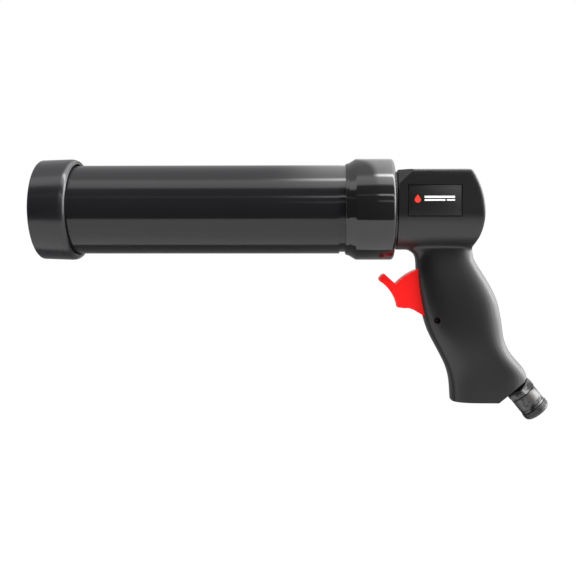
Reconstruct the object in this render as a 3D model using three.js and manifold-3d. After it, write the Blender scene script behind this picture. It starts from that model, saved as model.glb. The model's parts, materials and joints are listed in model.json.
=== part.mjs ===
// Compressed-air caulking gun for rigid 310 ml cartridges, in millimetres.
//
// Frame: +X runs along the barrel from the nose to the handle, +Z is up and -Y is the left-hand side.
// The origin is on the barrel's axis, at the face that the cartridge's base seats on.
import * as THREE from "three";
import { mergeVertices } from "three/addons/utils/BufferGeometryUtils.js";
import Module from "manifold-3d";

const wasm = await Module();
wasm.setup();

// ---------------------------------------------------------------- driving dimensions

const GAP = 0.3; // clearance kept between any two pieces that touch on the real tool
const ROUND = 32; // sides of the large turned pieces
const SMALL_ROUND = 16; // sides of the small turned pieces
const BOSS_ROUND = 12; // sides of the bosses and holes inside the shells

// Barrel and its two threaded ends
const CHAMBER_LENGTH = 215.3; // from the cartridge seat to the inside of the front cap
const BARREL_RADIUS = 28.15;
const BARREL_WALL = 2.15;
const RELIEF_WIDTH = 3.7; // the run-out relief in front of the rear collar, deepest at its lower left
const RELIEF_DEPTH = 0.55;
const RELIEF_OFFSET = 0.7;
const RELIEF_ANGLE = 45; // degrees from straight down towards the left-hand side

// Front cap
const CAP_LENGTH = 22.4;
const CAP_WALL = 3.7; // walls are measured out from the thread bore
const CAP_TAPER = 0.6; // how much smaller the front end's radius is
const CAP_EDGE = 0.8; // rounding of the front edge
const CAP_FRONT_WALL = 2.6;
const CAP_BEVEL_LENGTH = 4.2;
const CAP_LIP_WALL = 1.9;
const CAP_GROOVE_WIDTH = 1.0; // the dark ring between the cap's lip and the barrel
const CAP_GROOVE_DEPTH = 3.6;
const NOZZLE_HOLE_RADIUS = 15;
const THRUST_RING_THICKNESS = 1.5;

// Rear collar, a union nut that is held on the head's neck
const COLLAR_WALL = 3.65;
const COLLAR_LENGTH = 30.4;
const COLLAR_BEHIND_SEAT = 5.8;
const COLLAR_REAR_WALL = 1.9;
const COLLAR_CHAMFER = 4.5;
const COLLAR_LIP_WALL = 0.95;
const COLLAR_LIP_DRAFT = 0.5;
const COLLAR_LIP_LENGTH = 1.9;
const COLLAR_EDGE = 2.2; // rounding of the rear edge

// Head core: flange and neck in front, air block behind
const FLANGE_THICKNESS = 2.6;
const NECK_STEP = 5.25; // how much smaller the neck's radius is than the flange's
const NECK_GAP = 1.8; // visible neck between the collar and the head
const NECK_GROOVE_RADIUS = 18.5; // the head's front wall sits in this groove
const CORE_RADIUS = 12;
const CORE_SHOULDER = 6; // length of the wide part behind the head's front wall
const SEAT_SEAL_WIDTH = 7;
const SEAT_SEAL_CLEARANCE = 1; // from the barrel's bore
const SEAT_SEAL_THICKNESS = 2;
const SEAT_SEAL_PROUD = 0.6;
const PORT_RADIUS = 2.2;
const PORT_DROP = 8; // the air port is this far under the axis, so the seat's centre is solid

// Head housing
const HEAD_RADIUS = 25.7; // half-width, and radius of the round underside
const HEAD_TOP = 23.7;
const HEAD_LENGTH = 52.7; // at the bulge of its rear face
const HEAD_REAR_RADIUS = 47;
const HEAD_REAR_CENTRE_Z = -3;
const HEAD_EDGE = 2; // rounding along the top edges
const HEAD_CONE_RADIUS = 29.5; // cone that trims the front corners, at the front face
const HEAD_CONE_SLOPE = 28; // degrees
const SHELL_WALL = 2.8;
const SHELL_FRONT_WALL = 2.5;

// Grip: x of its front and rear edges, and its half-width, each against z
const GRIP_BOTTOM = -121.2;
const GRIP_FRONT_EDGE = [
  [-17, 13.8], [-25, 14.3], [-28, 18.7], [-32.5, 20.1], [-44, 20.6], [-62.4, 23.6],
  [-77, 27.8], [GRIP_BOTTOM + 28.7, 35.7], [GRIP_BOTTOM + 21.2, 39.3],
  [GRIP_BOTTOM + 13.2, 41.5], [GRIP_BOTTOM, 42.6],
];
const GRIP_REAR_EDGE = [
  [-17, 55.2], [-28, 56], [-32.5, 57.2], [-46.6, 65.8], [-56.8, 70.7], [-67, 73.2],
  [-83, 75.8], [GRIP_BOTTOM + 30.2, 79.7], [GRIP_BOTTOM + 20.2, 88],
  [GRIP_BOTTOM + 15.2, 90], [GRIP_BOTTOM, 90.5],
];
const GRIP_HALF_WIDTH = [
  [-17, 10.5], [-28, 10.7], [-45, 13.2], [-62, 15],
  [-78, 15.6], [GRIP_BOTTOM + 23.2, 14.8], [GRIP_BOTTOM, 14.5],
];
const GRIP_SQUARENESS = 2.5; // exponent of the rounded section
const GRIP_EDGE = 1; // chamfer round the bottom

// Label pockets on both flat sides of the head
const LABEL_LENGTH = 32.6;
const LABEL_HEIGHT = 19.1;
const LABEL_FRONT = 13.1;
const LABEL_BOTTOM = -5;
const LABEL_POCKET_DEPTH = 1;
const LABEL_THICKNESS = 0.3;

// Trigger and its pin
const PIVOT_X = 32.4;
const PIVOT_Z = -69.7;
const TRIGGER_RADIUS = 33.6; // of the arc that slides in the slot
const TRIGGER_WIDTH = 13;
const TRIGGER_HUB_RADIUS = 5.5;
const TRIGGER_STOP_HEIGHT = 2;
const TRIGGER_STOP_LENGTH = 3;
const TRIGGER_NOTCH_ANGLE = 138.6; // degrees about the pin, where the arc ends behind the finger tab
const SLOT_CLEARANCE = 0.5;
const SLOT_LOWEST_ANGLE = 169; // degrees about the pin, from +X towards +Z
const PIN_RADIUS = 1.7;
const PIN_RECESS = 0.8;
const PIN_BOSS_RADIUS = 4.5;

// Valve, which the trigger presses straight back
const STEM_LEVER = 16; // stem's height over the trigger pin
const VALVE_RADIUS = 6.5;
const VALVE_FRONT = 38.2;
const VALVE_LENGTH = 22.3;
const VALVE_BORE = 4;
const VALVE_VENT_RADIUS = 4.9; // the front ring stands clear in this until the trigger is pulled
const VALVE_VENT_LENGTH = 2.8;
const STEM_RADIUS = 2.3;
const STEM_TIP_EDGE = 0.8;
const SPOOL_RADIUS = 3.6;
const SPOOL_LENGTH = 13.1;
const SPOOL_LAND = 3; // length of each end of the spool, which carries a ring in its middle
const STEM_RING_SECTION = 0.7; // radius of the stem O-rings' section
const PLUG_RADIUS = 5.5;
const PLUG_LENGTH = 1.8;
const PLUG_SPIGOT = 2.5;
const SPRING_WIRE = 0.35; // radius of the wire
const SPRING_TURNS = 3;

// Air tubes
const TUBE_RADIUS = 4;
const TUBE_BORE = 2.4;
const SOCKET_DEPTH = 4.5;
const SOCKET_WALL = 1.4;
const DELIVERY_X = 45.5;
const SUPPLY_X = 53;
const SEAL_SECTION = 0.55; // radius of the tube O-rings' section

// Air inlet on the slanted rear-bottom face
const INLET_ANGLE = 51; // degrees below +X
const INLET_X = 83.5;
const INLET_Z = GRIP_BOTTOM + 10.3;
const INLET_NECK_RADIUS = 7;
const INLET_NECK_LENGTH = 2.2;
const BUSHING_DEPTH = 15;
const BUSHING_RADIUS = 6.9;
const BUSHING_GROOVE_RADIUS = 5.6; // the slanted wall sits in this groove
const INLET_BORE = 3.2;
const FILTER_RADIUS = 4.3;
const FILTER_LENGTH = 5;
const FILTER_LEDGE = 1;
const HEX_ACROSS_FLATS = 17;
const HEX_EDGE = 0.5;
const HEX_CHAMFER = 1.3;
const HEX_END = 7.6; // distances from the slanted face, out along the inlet's axis
const SLEEVE_END = 23;
const INLET_END = 23.6;
const SLEEVE_RADIUS = 8.5;
const SLEEVE_EDGE = 0.3;
const SLEEVE_PORT_RADIUS = 5.8; // tapping size of a G 1/4 thread
const SLEEVE_PORT_DEPTH = 11.5;
const SWIVEL_SPIGOT_RADIUS = 5;
const SWIVEL_SPIGOT_LENGTH = 2.8;
const GRIP_RING_RADIUS = 8.9;
const GRIP_RING_LENGTH = 4.7;
const GRIP_RING_WALL = 1.4;
const GRIP_RING_EDGE = 1.5;

// Exhaust silencer in the grip's bottom
const SILENCER_X = 60;
const SILENCER_RADIUS = 6.5;
const SILENCER_LENGTH = 12;
const SILENCER_FLANGE_RADIUS = 8.4;
const SILENCER_FLANGE_THICKNESS = 1.6;
const SILENCER_RECESS = 0.6; // how far its face lies inside the grip's bottom
const SILENCER_SLOTS = 3;
const SILENCER_SLOT_WIDTH = 1.2;
const SILENCER_SLOT_DEPTH = 3;

// Shell screws, put in from the right-hand side: [x, z] of each
const SCREW_PLACES = [
  [25, HEAD_TOP - 5.7], [54.5, HEAD_TOP - 9.2], [25.2, -31.2],
  [66.5, -69], [40.5, GRIP_BOTTOM + 33.2], [49.5, GRIP_BOTTOM + 10.2],
];
const SCREW_RADIUS = 1.5;
const SCREW_HEAD_RADIUS = 3.1;
const SCREW_HEAD_HEIGHT = 2.4;
const SCREW_HEAD_EDGE = 0.8;
const SCREW_POINT_LENGTH = 1.2;
const SCREW_DRIVE_DEPTH = 1.4;
const SCREW_BITE = 7; // how far the thread reaches into the left shell
const SCREW_LAND = 7; // from the parting plane to the underside of the head
const SCREW_DRIVE_RADIUS = 1.3;
const LEFT_BOSS_RADIUS = 3.8;
const RIGHT_BOSS_RADIUS = 4.9;

// ---------------------------------------------------------------- places that follow from them

const barrelBore = BARREL_RADIUS - BARREL_WALL;
const threadBore = BARREL_RADIUS + GAP;
const capRadius = threadBore + CAP_WALL;
const capFrontRadius = capRadius - CAP_TAPER;
const capLipRadius = threadBore + CAP_LIP_WALL;
const collarRadius = threadBore + COLLAR_WALL;
const collarLipRadius = threadBore + COLLAR_LIP_WALL;
const neckRadius = BARREL_RADIUS - NECK_STEP;
const seatSealOuter = barrelBore - SEAT_SEAL_CLEARANCE;
const seatSealInner = seatSealOuter - SEAT_SEAL_WIDTH;
const capInside = -CHAMBER_LENGTH;
const capFront = capInside - CAP_FRONT_WALL;
const capRear = capFront + CAP_LENGTH;
const thrustRingFront = capInside + GAP;
const thrustRingRear = thrustRingFront + THRUST_RING_THICKNESS;
const barrelFront = thrustRingRear + GAP;
const barrelRear = -GAP;
const collarRear = COLLAR_BEHIND_SEAT;
const collarFront = collarRear - COLLAR_LENGTH;
const headFront = collarRear + NECK_GAP;
const headRear = headFront + HEAD_LENGTH;
const coreEnd = DELIVERY_X + TUBE_RADIUS;
const stemZ = PIVOT_Z + STEM_LEVER;
const stemTip = PIVOT_X + GAP;
const valveRear = VALVE_FRONT + VALVE_LENGTH;
const spoolFront = VALVE_FRONT + GAP / 3;
const spoolRear = spoolFront + SPOOL_LENGTH;
const plugInner = valveRear - PLUG_SPIGOT;
const socketRadius = TUBE_RADIUS + GAP;
const sealGroove = socketRadius + 2 * SEAL_SECTION + GAP;
const portBossRadius = sealGroove + SOCKET_WALL / 2;
const labelFloor = HEAD_RADIUS - LABEL_POCKET_DEPTH;
const silencerTop = GRIP_BOTTOM + SILENCER_LENGTH;

// ---------------------------------------------------------------- shapes and solids

/** A closed geometry as a manifold-3d solid, with its faces turned outwards. */
function solid(geometry) {
  const bare = geometry.clone();
  bare.deleteAttribute("normal");
  bare.deleteAttribute("uv");
  const merged = mergeVertices(bare, 1e-4);
  const corners = merged.index.array;
  const kept = [];
  for (let i = 0; i < corners.length; i += 3) {
    const [a, b, c] = corners.slice(i, i + 3);
    if (a !== b && b !== c && c !== a) kept.push(a, b, c);
  }
  const build = (list) =>
    new wasm.Manifold(
      new wasm.Mesh({
        numProp: 3,
        vertProperties: new Float32Array(merged.attributes.position.array),
        triVerts: new Uint32Array(list),
      }),
    );
  const made = build(kept);
  return made.volume() > 0 ? made : build(kept.reverse());
}

/** Joins solids into one. */
const join = (first, ...others) => others.reduce((all, next) => all.add(next), first);

/** Cuts the later solids out of the first. */
const cut = (first, ...tools) => tools.reduce((rest, tool) => rest.subtract(tool), first);

const AXIS_X = new THREE.Matrix4().makeRotationZ(-Math.PI / 2); // a lathe's own axis is +Y
const AXIS_Y = new THREE.Matrix4();
const AXIS_Z = new THREE.Matrix4().makeRotationX(Math.PI / 2);

/** Turns a profile of [distance along the axis, radius] points about an axis through a point. */
function turned(profile, sides = SMALL_ROUND, axis = AXIS_X, place = [0, 0, 0]) {
  const points = profile.map(([along, radius]) => new THREE.Vector2(radius, along));
  const geometry = new THREE.LatheGeometry(points, sides);
  geometry.applyMatrix4(axis);
  geometry.translate(...place);
  return solid(geometry);
}

/** A plain cylinder from one distance along the axis to another. */
const rod = (from, to, radius, sides, axis, place) =>
  turned([[from, 0], [from, radius], [to, radius], [to, 0]], sides, axis, place);

/** A tube or washer, open through its middle. */
const ring = (from, to, inner, outer, sides, axis, place) =>
  turned([[from, inner], [from, outer], [to, outer], [to, inner], [from, inner]], sides, axis, place);

/** A rubber ring of round section. */
function oRing(along, radius, section, axis, place) {
  const steps = 5;
  const profile = [];
  for (let i = 0; i <= steps; i++) {
    const angle = (2 * Math.PI * (i % steps)) / steps;
    profile.push([along + section * Math.cos(angle), radius + section * Math.sin(angle)]);
  }
  return turned(profile, 16, axis, place);
}

/** A box between two corners. */
function box(low, high) {
  const geometry = new THREE.BoxGeometry(high[0] - low[0], high[1] - low[1], high[2] - low[2]);
  geometry.translate((low[0] + high[0]) / 2, (low[1] + high[1]) / 2, (low[2] + high[2]) / 2);
  return solid(geometry);
}

const outline = (points) => new THREE.Shape(points.map(([a, b]) => new THREE.Vector2(a, b)));

/** Pushes an outline drawn in X and Z through from y = low to y = high. */
function sideways(shape, low, high, curveSegments = 10) {
  const depth = high - low;
  const geometry = new THREE.ExtrudeGeometry(shape, { depth, bevelEnabled: false, curveSegments });
  geometry.applyMatrix4(new THREE.Matrix4().makeRotationX(Math.PI / 2));
  geometry.translate(0, high, 0);
  return solid(geometry);
}

/** Pushes an outline drawn in Y and Z along X. */
function lengthways(shape, from, to) {
  const geometry = new THREE.ExtrudeGeometry(shape, { depth: to - from, bevelEnabled: false });
  const turn = new THREE.Matrix4().makeBasis(
    new THREE.Vector3(0, 1, 0),
    new THREE.Vector3(0, 0, 1),
    new THREE.Vector3(1, 0, 0),
  );
  geometry.applyMatrix4(turn);
  geometry.translate(from, 0, 0);
  return solid(geometry);
}

/** Runs a round section along a path. */
function along(path, radius, steps, sides) {
  const section = new THREE.Shape();
  section.absarc(0, 0, radius, 0, 2 * Math.PI, false);
  return solid(
    new THREE.ExtrudeGeometry(section, {
      extrudePath: path,
      steps,
      curveSegments: sides,
      bevelEnabled: false,
    }),
  );
}

/** Joins rings of points, each with the same count, into one closed solid. */
function loft(sections) {
  const count = sections[0].length;
  const points = sections.flat();
  const index = [];
  for (let s = 0; s + 1 < sections.length; s++) {
    for (let i = 0; i < count; i++) {
      const next = (i + 1) % count;
      const [a, b, c, d] = [s * count + i, s * count + next, (s + 1) * count + next, (s + 1) * count + i];
      index.push(a, b, c, a, c, d);
    }
  }
  for (const [start, flip] of [[0, true], [(sections.length - 1) * count, false]]) {
    for (let i = 1; i + 1 < count; i++) {
      index.push(...(flip ? [start, start + i + 1, start + i] : [start, start + i, start + i + 1]));
    }
  }
  const geometry = new THREE.BufferGeometry();
  geometry.setAttribute("position", new THREE.Float32BufferAttribute(points.flat(), 3));
  geometry.setIndex(index);
  return solid(geometry);
}

/** A smooth function through [z, value] knots that fall in z. */
function through(knots) {
  const slope = (i) => {
    const before = knots[Math.max(i - 1, 0)];
    const after = knots[Math.min(i + 1, knots.length - 1)];
    return (after[1] - before[1]) / (after[0] - before[0]);
  };
  return (z) => {
    let i = 0;
    while (i < knots.length - 2 && z < knots[i + 1][0]) i++;
    const [z0, v0] = knots[i];
    const [z1, v1] = knots[i + 1];
    const span = z1 - z0;
    const t = (z - z0) / span;
    const rise = t * t * (3 - 2 * t);
    return v0 + (v1 - v0) * rise + span * (slope(i) * t * (1 - t) ** 2 - slope(i + 1) * t * t * (1 - t));
  };
}

/** Points along an arc, from one angle to another in degrees. */
function arc(centreA, centreB, radius, fromAngle, toAngle, steps = 4) {
  return Array.from({ length: steps + 1 }, (_, i) => {
    const angle = THREE.MathUtils.degToRad(fromAngle + ((toAngle - fromAngle) * i) / steps);
    return [centreA + radius * Math.cos(angle), centreB + radius * Math.sin(angle)];
  });
}

// ---------------------------------------------------------------- materials

const finish = (color, roughness, metalness = 0) =>
  new THREE.MeshStandardMaterial({ color, roughness, metalness });
const anodised = finish(0x1b1b1d, 0.22, 0.6);
const capBlack = finish(0x18181a, 0.4, 0.2);
const shellBlack = finish(0x1d1d1f, 0.5);
const triggerRed = finish(0xf01e1e, 0.35);
const labelBlack = finish(0x1c1c1c, 0.45);
const castMetal = finish(0x232427, 0.45, 0.7);
const steel = finish(0xa8abb0, 0.3, 1);
const blackSteel = finish(0x2a2b2d, 0.4, 0.9);
const brass = finish(0xb5914a, 0.35, 1);
const rubber = finish(0x141414, 0.8);
const whitePlastic = finish(0xd9d9d4, 0.5);
const sinteredBronze = finish(0x8d6f45, 0.85, 0.8);
const fittingGrey = finish(0x4a4b4b, 0.45, 0.5);

const gun = new THREE.Group();

/** Adds a finished solid to the tool as one named mesh. */
function place(name, made, material) {
  const { numProp, vertProperties, triVerts } = made.getMesh();
  const geometry = new THREE.BufferGeometry();
  const positions = new Float32Array((vertProperties.length / numProp) * 3);
  for (let v = 0; v * 3 < positions.length; v++) {
    positions.set(vertProperties.subarray(v * numProp, v * numProp + 3), v * 3);
  }
  geometry.setAttribute("position", new THREE.BufferAttribute(positions, 3));
  geometry.setIndex(new THREE.BufferAttribute(triVerts, 1));
  geometry.computeVertexNormals();
  const mesh = new THREE.Mesh(geometry, material);
  mesh.name = name;
  gun.add(mesh);
}

// ---------------------------------------------------------------- barrel, cap and collar

function barrel() {
  const tube = ring(barrelFront, barrelRear, barrelBore, BARREL_RADIUS, ROUND);
  const reliefRear = collarFront - GAP;
  const reliefFront = reliefRear - RELIEF_WIDTH;
  const towards = THREE.MathUtils.degToRad(RELIEF_ANGLE);
  const centre = [0, RELIEF_OFFSET * Math.sin(towards), RELIEF_OFFSET * Math.cos(towards)];
  const kept = rod(reliefFront - 1, reliefRear + 1, BARREL_RADIUS - RELIEF_DEPTH, ROUND, AXIS_X, centre);
  return cut(tube, cut(rod(reliefFront, reliefRear, BARREL_RADIUS + 2, ROUND), kept));
}

function frontCap() {
  const grooveRadius = BARREL_RADIUS + CAP_GROOVE_WIDTH;
  const bevelHeight = capRadius - capLipRadius;
  const bevel = arc(0, 0, 1, 90, 15, 3).map(([share, height]) => [
    capRear - CAP_BEVEL_LENGTH * (1 - share), capLipRadius + bevelHeight * height,
  ]);
  return turned(
    [
      [capFront, NOZZLE_HOLE_RADIUS],
      ...arc(capFront + CAP_EDGE, capFrontRadius - CAP_EDGE, CAP_EDGE, 180, 90, 2),
      ...bevel,
      [capRear, capLipRadius],
      [capRear, grooveRadius],
      [capRear - CAP_GROOVE_DEPTH, grooveRadius],
      [capRear - CAP_GROOVE_DEPTH, threadBore],
      [capInside, threadBore],
      [capInside, NOZZLE_HOLE_RADIUS],
      [capFront, NOZZLE_HOLE_RADIUS],
    ],
    ROUND,
  );
}

const thrustRing = () =>
  ring(thrustRingFront, thrustRingRear, NOZZLE_HOLE_RADIUS + GAP, BARREL_RADIUS, ROUND);

function rearCollar() {
  const flangeRoom = BARREL_RADIUS + 2 * GAP;
  const chamferEnd = collarFront + COLLAR_LIP_LENGTH + COLLAR_CHAMFER;
  const roomFront = -2 * GAP;
  return turned(
    [
      [collarFront, threadBore],
      [collarFront, collarLipRadius - COLLAR_LIP_DRAFT],
      [collarFront + COLLAR_LIP_LENGTH, collarLipRadius],
      [chamferEnd, collarRadius],
      ...arc(collarRear - COLLAR_EDGE, collarRadius - COLLAR_EDGE, COLLAR_EDGE, 90, 0, 3),
      [collarRear, neckRadius + GAP],
      [collarRear - COLLAR_REAR_WALL, neckRadius + GAP],
      [collarRear - COLLAR_REAR_WALL, flangeRoom],
      [roomFront, flangeRoom],
      [roomFront, threadBore],
      [collarFront, threadBore],
    ],
    ROUND,
  );
}

/** The washer that lets the collar turn against the back of the flange. */
function slipWasher() {
  const front = FLANGE_THICKNESS + GAP;
  return ring(front, collarRear - COLLAR_REAR_WALL - GAP, neckRadius + GAP, BARREL_RADIUS, ROUND);
}

// ---------------------------------------------------------------- head core

/** The tapering socket for one end of an air tube, with room for its O-ring at the mouth. */
function socket(mouth, inwards, axis, spot) {
  const depth = SOCKET_DEPTH * inwards;
  const sealRoom = (2 * SEAL_SECTION + GAP) * inwards;
  return turned(
    [
      [mouth - inwards, 0], [mouth - inwards, sealGroove], [mouth + sealRoom, sealGroove],
      [mouth + sealRoom, socketRadius], [mouth + depth, socketRadius], [mouth + depth, 0],
    ],
    SMALL_ROUND, axis, spot,
  );
}

const coreSocketMouth = -CORE_RADIUS - SOCKET_DEPTH - 1;

function headCore() {
  const wallRear = headFront + SHELL_FRONT_WALL;
  const shoulder = HEAD_TOP - SHELL_WALL - 2 * GAP;
  const turnedBody = turned(
    [
      [0, 0], [0, BARREL_RADIUS], [FLANGE_THICKNESS, BARREL_RADIUS], [FLANGE_THICKNESS, neckRadius],
      [headFront - GAP, neckRadius], [headFront - GAP, NECK_GROOVE_RADIUS],
      [wallRear + GAP, NECK_GROOVE_RADIUS],
      [wallRear + GAP, shoulder], [wallRear + CORE_SHOULDER, shoulder],
      [wallRear + CORE_SHOULDER, CORE_RADIUS], [coreEnd, CORE_RADIUS], [coreEnd, 0],
    ],
    ROUND,
  );
  const boss = rod(coreSocketMouth, 0, portBossRadius, SMALL_ROUND, AXIS_Z, [DELIVERY_X, 0, 0]);
  const sealSeat = ring(
    -1, SEAT_SEAL_THICKNESS - SEAT_SEAL_PROUD + GAP, seatSealInner - GAP, seatSealOuter + GAP, ROUND,
  );
  const port = rod(-1, DELIVERY_X, PORT_RADIUS, 12, AXIS_X, [0, 0, -PORT_DROP]);
  const riser = rod(coreSocketMouth, -PORT_DROP, PORT_RADIUS, 12, AXIS_Z, [DELIVERY_X, 0, 0]);
  const mouth = socket(coreSocketMouth, 1, AXIS_Z, [DELIVERY_X, 0, 0]);
  return cut(join(turnedBody, boss), sealSeat, port, riser, mouth);
}

const cartridgeSeal = () =>
  ring(-SEAT_SEAL_PROUD, SEAT_SEAL_THICKNESS - SEAT_SEAL_PROUD, seatSealInner, seatSealOuter, ROUND);

// ---------------------------------------------------------------- housing shells

/** The head's outside, or with an inset, the room inside it. */
function headBlock(inset) {
  const radius = HEAD_RADIUS - inset;
  const top = HEAD_TOP - inset;
  const edge = HEAD_EDGE - inset / 2;
  const section = outline([
    ...arc(radius - edge, top - edge, edge, 0, 90, 3),
    ...arc(edge - radius, top - edge, edge, 90, 180, 3),
    ...arc(0, 0, radius, 180, 360, ROUND / 2),
  ]);

  const front = headFront + (inset ? SHELL_FRONT_WALL : 0);
  const rearRadius = HEAD_REAR_RADIUS - inset;
  const rearCentre = headRear - HEAD_REAR_RADIUS;
  const upper = THREE.MathUtils.radToDeg(Math.asin((top - HEAD_REAR_CENTRE_Z) / rearRadius));
  const lower = -THREE.MathUtils.radToDeg(Math.asin((radius + HEAD_REAR_CENTRE_Z) / rearRadius));
  const side = outline([
    [front, top], [front, -radius], ...arc(rearCentre, HEAD_REAR_CENTRE_Z, rearRadius, lower, upper, 10),
  ]);

  const cone = Math.tan(THREE.MathUtils.degToRad(HEAD_CONE_SLOPE));
  const coneEnd = headRear + 5;
  const trim = turned(
    [
      [headFront, 0], [headFront, HEAD_CONE_RADIUS - inset],
      [coneEnd, HEAD_CONE_RADIUS - inset + (coneEnd - headFront) * cone], [coneEnd, 0],
    ],
    ROUND,
  );
  const bar = lengthways(section, front - 1, headRear + 1);
  return bar.intersect(sideways(side, -HEAD_RADIUS - 1, HEAD_RADIUS + 1)).intersect(trim);
}

const gripFront = through(GRIP_FRONT_EDGE);
const gripRear = through(GRIP_REAR_EDGE);
const gripHalfWidth = through(GRIP_HALF_WIDTH);

/** One level section of the grip, drawn as a rounded rectangle that is inset all round. */
function gripSection(z, inset) {
  const sides = 20;
  const middle = (gripFront(z) + gripRear(z)) / 2;
  const reach = (gripRear(z) - gripFront(z)) / 2 - inset;
  const half = gripHalfWidth(z) - inset;
  const bulge = (value) => Math.sign(value) * Math.abs(value) ** (2 / GRIP_SQUARENESS);
  return Array.from({ length: sides }, (_, i) => {
    const angle = (2 * Math.PI * (i + 0.5)) / sides;
    return [middle + reach * bulge(Math.cos(angle)), half * bulge(Math.sin(angle)), z];
  });
}

const inletAngle = THREE.MathUtils.degToRad(INLET_ANGLE);
const inletFrame = new THREE.Matrix4()
  .makeTranslation(INLET_X, 0, INLET_Z)
  .multiply(new THREE.Matrix4().makeRotationY(inletAngle));

/** Turns a profile about the inlet's axis, with distances counted out from the slanted face. */
const inletTurned = (profile, sides = SMALL_ROUND) =>
  turned(profile, sides, inletFrame.clone().multiply(AXIS_X));

const gripLevels = [...GRIP_FRONT_EDGE, ...GRIP_REAR_EDGE]
  .map(([z]) => z)
  .sort((upper, lower) => lower - upper)
  .filter((z, i, all) => z > GRIP_BOTTOM && (i === 0 || all[i - 1] - z > 2));

/** The grip's outside, or with an inset, the room inside it. */
function gripBlock(inset) {
  const bottom = GRIP_BOTTOM + inset;
  const levels = gripLevels.map((z) => gripSection(z, inset));
  const edge = [gripSection(bottom + GRIP_EDGE, inset), gripSection(bottom, inset + GRIP_EDGE)];
  return cut(loft([...levels, ...edge]), beyondSlant(-inset));
}

/** A block that takes away all that lies beyond the slanted face, moved out by a distance. */
function beyondSlant(distance) {
  const size = 120;
  const geometry = new THREE.BoxGeometry(size, size, size);
  geometry.translate(size / 2 + distance, 0, 0);
  geometry.applyMatrix4(inletFrame);
  return solid(geometry);
}

/** The arc-shaped slot that the trigger swings in, and the room round its hub. */
function triggerSlot() {
  const reach = TRIGGER_RADIUS + SLOT_CLEARANCE;
  const half = TRIGGER_WIDTH / 2 + SLOT_CLEARANCE + GAP;
  const sector = new THREE.Shape();
  sector.moveTo(PIVOT_X, PIVOT_Z);
  sector.lineTo(PIVOT_X, PIVOT_Z + reach);
  sector.absarc(PIVOT_X, PIVOT_Z, reach, Math.PI / 2, THREE.MathUtils.degToRad(SLOT_LOWEST_ANGLE), false);
  const hubRadius = TRIGGER_HUB_RADIUS + SLOT_CLEARANCE;
  const hub = rod(-half, half, hubRadius, SMALL_ROUND, AXIS_Y, [PIVOT_X, 0, PIVOT_Z]);
  return join(sideways(sector, -half, half), hub);
}

function labelPocket(side) {
  const [from, to] = [side * labelFloor, side * (HEAD_RADIUS + 1)];
  return box(
    [LABEL_FRONT, Math.min(from, to), LABEL_BOTTOM],
    [LABEL_FRONT + LABEL_LENGTH, Math.max(from, to), LABEL_BOTTOM + LABEL_HEIGHT],
  );
}

/** The hole for the inlet's neck, with room behind it for the bushing. */
const bushingRoom = () =>
  inletTurned([
    [-BUSHING_DEPTH - 2, 0],
    [-BUSHING_DEPTH - 2, BUSHING_RADIUS + GAP],
    [-SHELL_WALL, BUSHING_RADIUS + GAP],
    [-SHELL_WALL, BUSHING_GROOVE_RADIUS + GAP], [1, BUSHING_GROOVE_RADIUS + GAP], [1, 0],
  ]);

const silencerHole = () =>
  rod(GRIP_BOTTOM - 1, silencerTop, SILENCER_RADIUS + GAP, SMALL_ROUND, AXIS_Z, [SILENCER_X, 0, 0]);

const pinHalfLength = () => {
  const middle = (gripFront(PIVOT_Z) + gripRear(PIVOT_Z)) / 2;
  const reach = (gripRear(PIVOT_Z) - gripFront(PIVOT_Z)) / 2;
  const share = Math.abs(PIVOT_X - middle) / reach;
  return gripHalfWidth(PIVOT_Z) * (1 - share ** GRIP_SQUARENESS) ** (1 / GRIP_SQUARENESS) - PIN_RECESS;
};

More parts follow.
